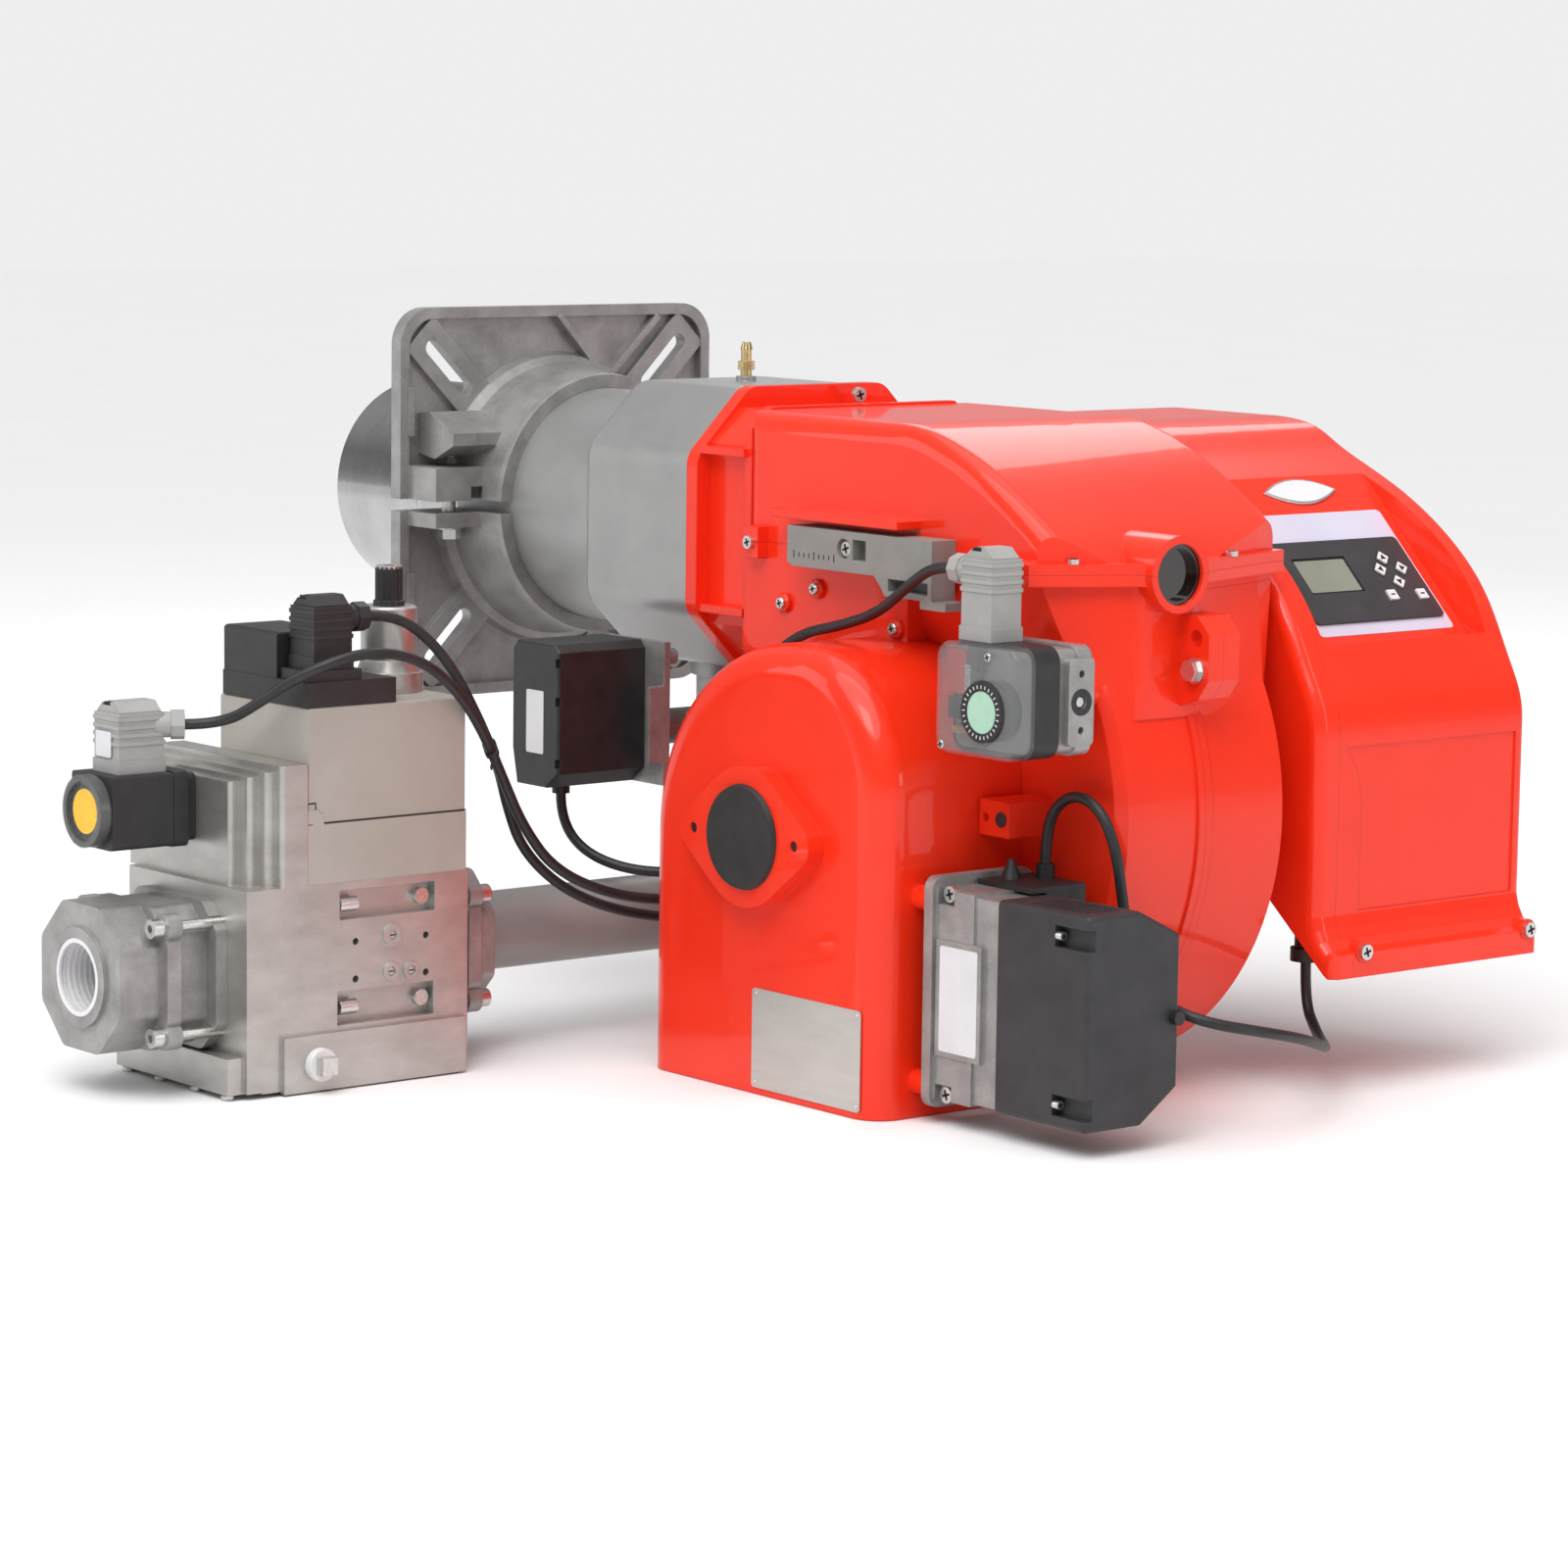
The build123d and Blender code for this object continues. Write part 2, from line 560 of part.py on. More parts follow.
# ============================================================ air intake box
with BuildPart() as suction_box:
    with BuildSketch(facing_near(BOX_Y1 + 0.3)):
        with BuildLine():
            Polyline((423, -210), (423, FLOOR), (691, FLOOR), (691, -161))
            CenterArc((590, -161), 101, 0, 90)
            Line((590, -60), (573, -60))
            CenterArc((573, -210), 150, 90, 90)
        make_face()
    extrude(amount=BOX_Y1 + 0.3 - BOX_Y0)
    fillet(suction_box.faces().sort_by(Axis.Y)[0].edges().filter_by(lambda e: e.center().Z > FLOOR + 5), 24)
    # rim where the box bears on the scroll
    with BuildSketch(facing_near(BOX_Y1 + 0.3)):
        with BuildLine():
            Polyline((415, -210), (415, -300), (423, -312), (691, -312), (691, -161))
            CenterArc((590, -161), 101, 0, 90)
            Line((590, -60), (573, -52))
            CenterArc((573, -210), 158, 90, 90)
        make_face()
    extrude(amount=16)
    # diamond-shaped cover pad
    with BuildSketch(facing_near(BOX_Y0 + 5)):
        with Locations((556, -201)):
            Circle(52)
            with Locations((-58, 0), (58, 0)):
                Circle(17)
        make_hull()
    extrude(amount=20)
    # pads of the damper actuator
    with BuildSketch(facing_x(690)):
        with Locations((-180, -366), (-106, -366), (-180, -232), (-106, -232)):
            Circle(9)
    extrude(amount=18)
    # inside
    with BuildSketch(facing_near(BOX_Y1 - 5.7)):
        with BuildLine():
            Polyline((428, -210), (428, FLOOR + 5), (686, FLOOR + 5), (686, -161))
            CenterArc((590, -161), 96, 0, 90)
            Line((590, -65), (573, -65))
            CenterArc((573, -210), 145, 90, 90)
        make_face()
    extrude(amount=BOX_Y1 - 5.7 - BOX_Y0 - 14, mode=Mode.SUBTRACT)
    with BuildSketch(facing_near(-80)):
        with Locations((VOL_X, VOL_Z)):
            Circle(88)
    extrude(amount=20, mode=Mode.SUBTRACT)
    # the duct of the casing passes behind the top of the box
    with Locations((505, -59.1, -48.1)):
        Box(192, 118.2, 96.2, mode=Mode.SUBTRACT)
    with BuildSketch(level(0)):
        with Locations((680, -59.1)):
            Rectangle(162, 118.2)
    with BuildSketch(level(-104)):
        with Locations((680, -42.1)):
            Rectangle(162, 84.2)
    loft(mode=Mode.SUBTRACT)
    # air inlet in the floor of the box
    with BuildSketch(level(FLOOR - 1)):
        with Locations((557, -153)):
            Rectangle(212, 106)
    extrude(amount=8, mode=Mode.SUBTRACT)
    # bores: plug, its two fixing holes, damper shaft
    with BuildSketch(facing_near(BOX_Y0 - 15)):
        with Locations((556, -201)):
            Circle(34.02)
            with Locations((-58, 0), (58, 0)):
                Circle(4)
    extrude(amount=-14, mode=Mode.SUBTRACT)
    with BuildSketch(facing_x(420, DAMPER_Y, DAMPER_Z)):
        Circle(5.05)
    extrude(amount=300, mode=Mode.SUBTRACT)
suction_box.part.label = "suction_box"
export_step(suction_box.part, "parts/suction_box.step")

with BuildPart() as rubber_plugs:
    with BuildSketch(facing_near(BOX_Y0 - 15)):
        with Locations((556, -201)):
            Circle(39)
    extrude(amount=4, taper=20)
    with BuildSketch(facing_near(BOX_Y0 - 15)):
        with Locations((556, -201)):
            Circle(34)
    extrude(amount=-12)
rubber_plugs.part.label = "rubber_plug"
export_step(rubber_plugs.part, "parts/rubber_plug.step")

with BuildPart() as air_damper:
    with BuildSketch(facing_x(424, DAMPER_Y, DAMPER_Z)):
        Circle(5)
    extrude(amount=291)
    with Locations((557, DAMPER_Y, DAMPER_Z)):
        Box(254, 98, 3)
air_damper.part.label = "air_damper"
export_step(air_damper.part, "parts/air_damper.step")

# ============================================================ damper actuator
SERVO_FACE = [(-187, -374), (-133, -374), (-99, -350), (-99, -241), (-138, -222), (-187, -222)]
with BuildPart() as servo_base:
    with BuildSketch(facing_x(708)):
        with Locations((-143, -297.5)):
            RectangleRounded(96, 167, 9)
    extrude(amount=9)
    with BuildSketch(facing_x(717)):
        Polygon(*SERVO_FACE, align=None)
    extrude(amount=40)
    with BuildSketch(facing_x(757)):
        Polygon(*[(y + (2 if y < -150 else -2), z + (2 if z < -300 else -2)) for y, z in SERVO_FACE], align=None)
    extrude(amount=26)
    # bridge across the middle of the near side carries a plain field
    with BuildSketch(facing_near(-184)):
        with Locations((743, -300)):
            Rectangle(48, 84)
    extrude(amount=4.5)
    # corner notches of the fixing screws
    for z in (-225, -371):
        with Locations((727, -187, z)):
            Box(18, 14, 16, mode=Mode.SUBTRACT)
    with BuildSketch(facing_x(700, DAMPER_Y, DAMPER_Z)):
        Circle(5.05)
    extrude(amount=30, mode=Mode.SUBTRACT)
servo_base.part.label = "servo_base"
export_step(servo_base.part, "parts/servo_base.step")

with BuildPart() as servo_cover:
    with BuildSketch(facing_x(783)):
        Polygon(*SERVO_FACE, align=None)
    extrude(amount=93)
    fillet(servo_cover.edges().filter_by(Axis.X), 4)
    fillet(servo_cover.faces().sort_by(Axis.X)[-1].edges(), 3.5)
    # notches of the two cover screws
    for z in (-239, -358):
        with Locations((862, -187, z)):
            Box(40, 14, 15, mode=Mode.SUBTRACT)
    # ventilation slots
    with Locations((0, 0, 0)):
        for k in range(9):
            with Locations((808 + 6.5 * k, -160, -222)):
                Box(3.6, 34, 16, mode=Mode.SUBTRACT)
servo_cover.part.label = "servo_cover"
export_step(servo_cover.part, "parts/servo_cover.step")

# ============================================================ fan and motor
with BuildPart() as fan_impeller:
    with BuildSketch(facing_near(44)):
        with Locations((VOL_X, VOL_Z)):
            Circle(FAN_R)
    extrude(amount=4)
    with BuildSketch(facing_near(-67)):
        with Locations((VOL_X, VOL_Z)):
            Circle(FAN_R)
            Circle(98, mode=Mode.SUBTRACT)
    extrude(amount=4)
    with BuildSketch(facing_near(40)):
        with Locations((VOL_X, VOL_Z)):
            with PolarLocations(111, 30):
                with Locations(Rotation(0, 0, 35)):
                    Rectangle(24, 2.4)
    extrude(amount=107)
    with BuildSketch(facing_near(50)):
        with Locations((VOL_X, VOL_Z)):
            Circle(20)
    extrude(amount=40)
    with BuildSketch(facing_near(60)):
        with Locations((VOL_X, VOL_Z)):
            Circle(9.5)
    extrude(amount=80, mode=Mode.SUBTRACT)
fan_impeller.part.label = "fan_impeller"
export_step(fan_impeller.part, "parts/fan_impeller.step")

with BuildPart() as motor_shaft:
    with BuildSketch(facing_near(118)):
        with Locations((VOL_X, VOL_Z)):
            Circle(9.5)
    extrude(amount=112)
motor_shaft.part.label = "motor_shaft"
export_step(motor_shaft.part, "parts/motor_shaft.step")

with BuildPart() as fan_motor:
    with BuildSketch(facing_near(95)):
        with Locations((VOL_X, VOL_Z)):
            Circle(100)
    extrude(amount=11)
    with Locations((VOL_X, 89.5, -60)):
        Box(220, 12, 94, mode=Mode.SUBTRACT)
    with BuildSketch(facing_near(84)):
        with Locations((VOL_X, VOL_Z)):
            Circle(65)
    extrude(amount=6)
    with BuildSketch(facing_near(282)):
        with Locations((VOL_X, VOL_Z)):
            Circle(73)
    extrude(amount=187)
    with BuildSketch(facing_near(272)):
        with Locations((VOL_X, VOL_Z)):
            with PolarLocations(76, 44):
                Rectangle(12, 2.2)
    extrude(amount=160)
    with BuildSketch(facing_near(120)):
        with Locations((VOL_X, VOL_Z)):
            Circle(9.56)
    extrude(amount=44, mode=Mode.SUBTRACT)
fan_motor.part.label = "fan_motor"
export_step(fan_motor.part, "parts/fan_motor.step")

with BuildPart() as motor_cowl:
    with BuildSketch(facing_near(334)):
        with Locations((VOL_X, VOL_Z)):
            Circle(81)
    extrude(amount=60)
    fillet(motor_cowl.faces().sort_by(Axis.Y)[-1].edges(), 10)
    with BuildSketch(facing_near(331)):
        with Locations((VOL_X, VOL_Z)):
            Circle(79)
    extrude(amount=49, mode=Mode.SUBTRACT)
    with BuildSketch(facing_near(282)):
        with Locations((VOL_X, VOL_Z)):
            Circle(73.02)
    extrude(amount=9, mode=Mode.SUBTRACT)
    with BuildSketch(facing_near(335)):
        with Locations((VOL_X, VOL_Z)):
            for r, n in ((20, 10), (34, 16), (48, 22), (62, 28)):
                with PolarLocations(r, n):
                    Circle(3.6)
    extrude(amount=6, mode=Mode.SUBTRACT)
motor_cowl.part.label = "motor_cowl"
export_step(motor_cowl.part, "parts/motor_cowl.step")

# ============================================================ air pressure switch
AS_X, AS_Z = 757.0, -84.0
with BuildPart() as air_switch_body:
    with BuildSketch(facing_near(-118)):
        with Locations((AS_X, AS_Z)):
            RectangleRounded(84, 78, 9)
    extrude(amount=14)
    with BuildSketch(facing_near(-132)):
        with Locations((AS_X, AS_Z)):
            RectangleRounded(80, 74, 7)
    extrude(amount=17)
    with BuildSketch(facing_x(796)):
        with Locations((-131, AS_Z)):
            RectangleRounded(24, 62, 4)
    extrude(amount=7)
    # port with its two small holes
    with BuildSketch(facing_x(803)):
        with Locations((-131, AS_Z)):
            Circle(5)
        with Locations((-131, AS_Z + 20), (-131, AS_Z - 20)):
            Circle(2.6)
    extrude(amount=-5, mode=Mode.SUBTRACT)
air_switch_body.part.label = "air_switch_body"
export_step(air_switch_body.part, "parts/air_switch_body.step")

with BuildPart() as air_switch_gasket:
    with BuildSketch(facing_near(-149)):
        with Locations((AS_X, AS_Z)):
            RectangleRounded(86, 80, 13)
    extrude(amount=23)
air_switch_gasket.part.label = "air_switch_case"
export_step(air_switch_gasket.part, "parts/air_switch_case.step")

with BuildPart() as air_switch_cover:
    with BuildSketch(facing_near(-172)):
        with Locations((AS_X, AS_Z)):
            RectangleRounded(86, 80, 13)
    extrude(amount=18)
    fillet(air_switch_cover.faces().sort_by(Axis.Y)[0].edges(), 4)
    with BuildSketch(facing_near(-172)):
        with Locations((AS_X, AS_Z)):
            RectangleRounded(80, 74, 10)
    extrude(amount=15.4, mode=Mode.SUBTRACT)
    with BuildSketch(facing_near(-171)):
        with Locations((AS_X + 9, AS_Z - 7)):
            Circle(22.3)
    extrude(amount=30, mode=Mode.SUBTRACT)
air_switch_cover.part.label = "air_switch_cover"
export_step(air_switch_cover.part, "parts/air_switch_cover.step")

with BuildPart() as air_switch_dial:
    with BuildSketch(facing_near(-172.05)):
        with Locations((AS_X + 9, AS_Z - 7)):
            Circle(21.5)
    extrude(amount=20)
    with BuildSketch(facing_near(-190)):
        with Locations((AS_X + 9, AS_Z - 7)):
            Circle(15)
    extrude(amount=4, mode=Mode.SUBTRACT)
    with BuildSketch(facing_near(-188)):
        with Locations((AS_X + 9, AS_Z - 7)):
            Rectangle(22, 4)
    extrude(amount=3.2)
air_switch_dial.part.label = "air_switch_dial"
export_step(air_switch_dial.part, "parts/air_switch_dial.step")


def connector(cx, cy, z0, z1, wx, wy, gland):
    """Rectangular plug connector: stepped shell on a square foot. gland is the
    side its cable leaves by: (dx, dy), with the hub ending 24 mm outside."""
    Box3 = [(cx, cy, z0 + 5, wx + 2, wy + 2, 10), (cx, cy, (z0 + z1) / 2 - 2, wx, wy, z1 - z0 - 12)]
    for x, y, z, a, b, c in Box3:
        with Locations((x, y, z)):
            Box(a, b, c)
    a = wx / 2 - 1.5
    with BuildSketch(facing_near(cy + wy / 2 - 1.5)) as top:
        Polygon((cx - a, z0 + 12), (cx + a, z0 + 12), (cx + a, z1 - 7), (cx + a - 8, z1), (cx - a + 8, z1),
                (cx - a, z1 - 7), align=None)
    extrude(top.sketch, amount=wy - 3)
    for k in range(4):
        with Locations((cx, cy, z1 - 12 - 6 * k)):
            Box(wx + 1.6, wy + 1.6, 3)
    with Locations((cx - 3, cy - wy / 2 + 3, z1 - 1)):
        Box(11, 6, 4, mode=Mode.SUBTRACT)
    dx, dy = gland
    half = wx / 2 if abs(dx) > abs(dy) else wy / 2
    gz = z1 - 18
    base = Plane((cx + dx * (half - 3), cy + dy * (half - 3), gz), z_dir=(dx, dy, 0))
    with BuildSketch(base) as hub:
        Circle(9.5)
    extrude(hub.sketch, amount=14)
    with BuildSketch(base.offset(14)) as nut:
        RegularPolygon(11, 8)
    extrude(nut.sketch, amount=10)


# ============================================================ control cover
COVER = [(405, -62), (405, 88), (520, 88), (560, 81), (588, 70), (646, 44), (704, 10), (750, -35), (776, -82),
         (789, -108), (792, -130), (792, -262), (794.5, -271), (799, -279), (805, -285), (812, -288), (812, -306),
         (806, -306), (742, -252), (694, -196), (676, -104), (640, -94), (560, -62)]
slope = Plane((708.5, 228, -25.5), x_dir=(0, 1, 0), z_dir=(1, 0, 1))   # operating face
PANEL_U0, PANEL_U1 = -78, 90


# outline of the cover: straight edges, then the curved top from its rear to its
# front; the first point closes it
OUTLINE = [(520, 88), (405, 88), (405, -62), (560, -62), (640, -94), (676, -104), (694, -196), (742, -252),
           (806, -306), (812, -306), (812, -288), (805, -285), (799, -279), (794.5, -271), (792, -262),
           (792, -130), (776, -82), (750, -35), (704, 10), (646, 44), (588, 70)]


def drawn_in(points, d):
    """The corners of a closed counter-clockwise outline, moved inwards by d."""
    moved = []
    for a, b, c in zip(points[-1:] + points[:-1], points, points[1:] + points[:1]):
        u = Vector(b[0] - a[0], b[1] - a[1]).normalized()
        v = Vector(c[0] - b[0], c[1] - b[1]).normalized()
        k = d / (1 + u.dot(v))
        moved.append((b[0] - k * (u.Y + v.Y), b[1] + k * (u.X + v.X)))
    return moved


# near side, rear and top edges of the cover that are rounded over
SOFT_Z = -300.0


def soft_edge(e, y):
    c = e.center()
    return abs(c.Y - y) < 0.01 and ((c.X > 790 and c.Z > SOFT_Z) or c.Z > -60)


cover_faces = {}
for d in (0.0, 1.5, 3.5):
    pts = drawn_in(OUTLINE, d)
    with BuildSketch(facing_near(0)) as outline_face:
        with BuildLine():
            Polyline(*pts[:16])
            Spline(*pts[15:], pts[0], tangents=[(0, 1), (-1, 0.02)])
        make_face()
    cover_faces[d] = outline_face.sketch
cover_face, rim_face, inner_face = cover_faces[0.0], cover_faces[1.5], cover_faces[3.5]


with BuildPart() as cover_inside:
    extrude(Pos(0, COV_Y1 - 3.5, 0) * inner_face, amount=COV_Y1 - 3.5 - COV_Y0 + 1)
    with BuildSketch(slope.offset(-3.5)):
        with Locations(((PANEL_U0 + PANEL_U1) / 2, 31.5)):
            Rectangle(PANEL_U1 - PANEL_U0 + 7, 198)
    extrude(amount=60, taper=-14, mode=Mode.SUBTRACT)

with BuildPart() as control_cover:
    extrude(Pos(0, COV_Y1, 0) * cover_face, amount=COV_Y1 - COV_Y0)
    fillet(control_cover.edges().filter_by(lambda e: soft_edge(e, COV_Y1)), 8)
    with BuildSketch(slope):
        with Locations(((PANEL_U0 + PANEL_U1) / 2, 31.5)):
            Rectangle(PANEL_U1 - PANEL_U0, 191)
    extrude(amount=60, taper=-14, mode=Mode.SUBTRACT)
    add(cover_inside.part, mode=Mode.SUBTRACT)
    # opening of the display unit
    with BuildSketch(slope.offset(-6)):
        with Locations((9, 0)):
            Rectangle(126, 66)
    extrude(amount=8, mode=Mode.SUBTRACT)
    # shallow pressing on the rear wall
    with BuildSketch(facing_x(793)):
        with BuildLine():
            Line((164, -260), (164, -186))
            ThreePointArc((164, -186), (160, -158), (147, -137))
            Polyline((147, -137), (330, -137), (330, -260), (164, -260))
        make_face()
    extrude(amount=-2.4, mode=Mode.SUBTRACT)
    # bosses of the two corner screws on the flare
    with BuildSketch(facing_x(813)):
        with Locations((150, -287), (328, -287)):
            Circle(8)
    extrude(amount=-17)
    # gland holes
    with BuildSketch(level(-63)):
        with Locations((440, 152), (440, 180), (440, 208), (440, 236)):
            Circle(8.02)
    extrude(amount=6, mode=Mode.SUBTRACT)
    with BuildSketch(level(-320)):
        with Locations((753, 150)):
            Circle(9.02)
    extrude(amount=80, mode=Mode.SUBTRACT)
control_cover.part.label = "control_cover"
export_step(control_cover.part, "parts/control_cover.step")

with BuildPart() as control_base:
    extrude(Pos(0, COV_Y0, 0) * cover_face, amount=COV_Y0 - CASE_W)
    fillet(control_base.edges().filter_by(lambda e: soft_edge(e, CASE_W)), 11)
    extrude(Pos(0, COV_Y0, 0) * inner_face, amount=COV_Y0 - CASE_W - 7, mode=Mode.SUBTRACT)
control_base.part.label = "control_base"
export_step(control_base.part, "parts/control_base.step")

with BuildPart() as display_unit:
    with BuildSketch(slope):
        with Locations((9, 0.5)):
            RectangleRounded(138, 79, 4)
    extrude(amount=2.6)
    with BuildSketch(slope.offset(-26)):
        with Locations((9, 0)):
            Rectangle(125.2, 65)
    extrude(amount=26)
    # window
    with BuildSketch(slope.offset(2.6)):
        with Locations((-17.5, 6.5)):
            Rectangle(57, 35)
    extrude(amount=-1.2, mode=Mode.SUBTRACT)
    # key wells
    KEYS = [("key_up", 49, 19, 0), ("key_left", 39, 8, 0), ("key_right", 62, 8, 0), ("key_down", 50.5, -5, 0),
            ("key_enter", 35, -17, 1), ("key_info", 66.6, -18, 1)]
    with BuildSketch(slope.offset(2.6)):
        for name, u, v, square in KEYS:
            with Locations((u, v)):
                if square:
                    Rectangle(9.6, 9.6)
                else:
                    RegularPolygon(6.5, 4, rotation=0)
    extrude(amount=-5.6, mode=Mode.SUBTRACT)
display_unit.part.label = "display_unit"
export_step(display_unit.part, "parts/display_unit.step")

for name, u, v, square in KEYS:
    with BuildPart() as key:
        with BuildSketch(slope.offset(-1.2)):
            with Locations((u, v)):
                if square:
                    Rectangle(9, 9)
                else:
                    RegularPolygon(6.05, 4, rotation=0)
        extrude(amount=5.4)
    key.part.label = name
    export_step(key.part, "parts/" + name + ".step")

# cable glands: four under the control cover, one at its rear corner, two on the
# damper actuator with the plate that carries them
with BuildPart() as cable_glands:
    for y in (152, 180, 208, 236):
        with BuildSketch(level(-66)):
            with Locations((440, y)):
                Circle(12)
        extrude(amount=4)
        with BuildSketch(level(-82)):
            with Locations((440, y)):
                RegularPolygon(10, 6)
        extrude(amount=16)
        with BuildSketch(level(-62)):
            with Locations((440, y)):
                Circle(8)
        extrude(amount=8)
    with BuildSketch(level(-302)):
        with Locations((753, 150)):
            Circle(9)
    extrude(amount=52)
    with BuildSketch(level(-302)):
        with Locations((753, 150)):
            Circle(12)
    extrude(amount=10)
    with BuildSketch(facing_x(719)):
        Polygon((-150, -222), (-138, -222), (-99, -241), (-99, -218), (-150, -218), align=None)
    extrude(amount=58)
    with BuildSketch(level(-218)):
        with Locations((742, -106)):
            Circle(7)
    extrude(amount=10)
    with BuildSketch(level(-218)):
        with Locations((732, -130)):
            Circle(7.5)
    extrude(amount=14, taper=20)
    with BuildSketch(facing_x(876)):
        with Locations((-104, -300)):
            Circle(5)
    extrude(amount=6)
cable_glands.part.label = "cable_glands"
export_step(cable_glands.part, "parts/cable_glands.step")

# ============================================================ gas train
BX0, BX1, BY0, BY1 = 204.0, 363.0, -538.0, -342.0
with BuildPart() as valve_block:
    with Locations(((BX0 + BX1) / 2, (BY0 + BY1) / 2, -315)):
        Box(BX1 - BX0, BY1 - BY0, 150)
    # foot plate with its seal line, flush to the floor
    with Locations(((BX0 + BX1) / 2, (-552 - 485) / 2, -376)):
        Box(BX1 - BX0 - 8, 67, 28)
    # upper body at the front with its ribs
    for x1, y0, z1 in ((331, -532, -164), (344, -524, -160), (355, -516, -156), (BX1, -508, -151)):
        with Locations(((196 + x1) / 2, (y0 - 485) / 2, (z1 - 240) / 2)):
            Box(x1 - 196, -485 - y0, z1 + 240)
    fillet([e for e in valve_block.edges().filter_by(Axis.Z) if -165 > e.center().Z > -225
            and (round(e.center().X), round(e.center().Y)) in ((331, -532), (344, -524), (355, -516), (363, -508))], 3)
    # recesses on the right side
    for y0, y1, z0, z1 in ((-457, -372, -268, -246), (-459, -373, -346, -321)):
        with Locations((BX1, (y0 + y1) / 2, (z0 + z1) / 2)):
            Box(20, y1 - y0, z1 - z0, mode=Mode.SUBTRACT)
    # strip along the lower edge
    with Locations((BX1 + 1, -427, -371)):
        Box(6, 162, 42)
    # test nipples
    with BuildSketch(facing_x(BX1 - 1)):
        with Locations((-411, -283)):
            Circle(8.5)
        with Locations((-412, -310), (-394, -311)):
            Circle(7)
    extrude(amount=3)
    with BuildSketch(facing_x(BX1 + 2)):
        with Locations((-411, -283), (-412, -310), (-394, -311)):
            Circle(3.4)
    extrude(amount=-5, mode=Mode.SUBTRACT)
    with BuildSketch(facing_x(BX1)):
        with Locations((-443, -285), (-380, -286), (-443, -313), (-380, -314)):
            Circle(2.6)
    extrude(amount=-12, mode=Mode.SUBTRACT)
    # gas way
    with BuildSketch(facing_near(BY1 + 1)):
        with Locations((GX, GZ)):
            Circle(26)
    extrude(amount=BY1 - BY0 + 2, mode=Mode.SUBTRACT)
    # lower front edge and underside screw pockets
    with Locations((BX0 + 79, -540, -392)):
        Box(200, 30, 6, mode=Mode.SUBTRACT)
valve_block.part.label = "valve_block"
export_step(valve_block.part, "parts/valve_block.step")


def gas_flange(y_face, out):
    """Bolted threaded flange. y_face is the level of the joint with the block and
    out is -1 for the inlet (towards -Y) and +1 for the outlet."""
    depth = 86 if out < 0 else 50
    mid = depth * 0.52
    steps = [(0.0, 10.0, 126, 110, 20), (10.0, mid - 6, 98, 104, 20), (mid - 6, mid + 6, 124, 106, 24),
             (mid + 6, depth, 108, 108, 30)]
    for a, b, w, h, c in steps:
        y0, y1 = y_face + out * a, y_face + out * b
        with BuildSketch(facing_near(max(y0, y1))) as step:
            with Locations((GX, GZ)):
                Polygon((-w / 2 + c, -h / 2), (w / 2 - c, -h / 2), (w / 2, -h / 2 + c), (w / 2, h / 2 - c),
                        (w / 2 - c, h / 2), (-w / 2 + c, h / 2), (-w / 2, h / 2 - c), (-w / 2, -h / 2 + c), align=None)
            fillet(step.vertices(), 9)
        extrude(step.sketch, amount=abs(y1 - y0))
    # ears of the four screws
    y1 = y_face + out * (mid + 6)
    with BuildSketch(facing_near(max(y1, y1 - out * 12))) as ears:
        with Locations((GX, GZ)):
            with Locations((-54, 40), (54, 40), (-54, -40), (54, -40)):
                Circle(10)
    extrude(ears.sketch, amount=12)


with BuildPart() as gas_inlet_flange:
    gas_flange(BY0, -1)
    # ring round the thread
    with BuildSketch(facing_near(BY0 - 85)):
        with Locations((GX, GZ)):
            Circle(37)
    extrude(amount=4)
    with BuildSketch(facing_near(BY0 + 1)):
        with Locations((GX, GZ)):
            Circle(28.9)
    extrude(amount=100, mode=Mode.SUBTRACT)
    with BuildSketch(facing_near(BY0 + 1)):
        with Locations((GX, GZ)):
            with Locations((-54, 40), (54, 40), (-54, -40), (54, -40)):
                Circle(4.3)
    extrude(amount=100, mode=Mode.SUBTRACT)
gas_inlet_flange.part.label = "gas_inlet_flange"
export_step(gas_inlet_flange.part, "parts/gas_inlet_flange.step")

with BuildPart() as gas_outlet_flange:
    gas_flange(BY1, 1)
    with BuildSketch(facing_near(BY1 + 60)):
        with Locations((GX, GZ)):
            Circle(PIPE_R + 0.02)
    extrude(amount=40, mode=Mode.SUBTRACT)
    with BuildSketch(facing_near(BY1 + 60)):
        with Locations((GX, GZ)):
            Circle(26)
    extrude(amount=70, mode=Mode.SUBTRACT)
    with BuildSketch(facing_near(BY1 + 100)):
        with Locations((GX, GZ)):
            with Locations((-54, 40), (54, 40), (-54, -40), (54, -40)):
                Circle(4.3)
    extrude(amount=110, mode=Mode.SUBTRACT)
gas_outlet_flange.part.label = "gas_outlet_flange"
export_step(gas_outlet_flange.part, "parts/gas_outlet_flange.step")
for p in (gas_inlet_flange, gas_outlet_flange):
    b = p.part.bounding_box()
    print("flange", [round(v, 1) for v in (*b.min, *b.max)], len(p.part.solids()))

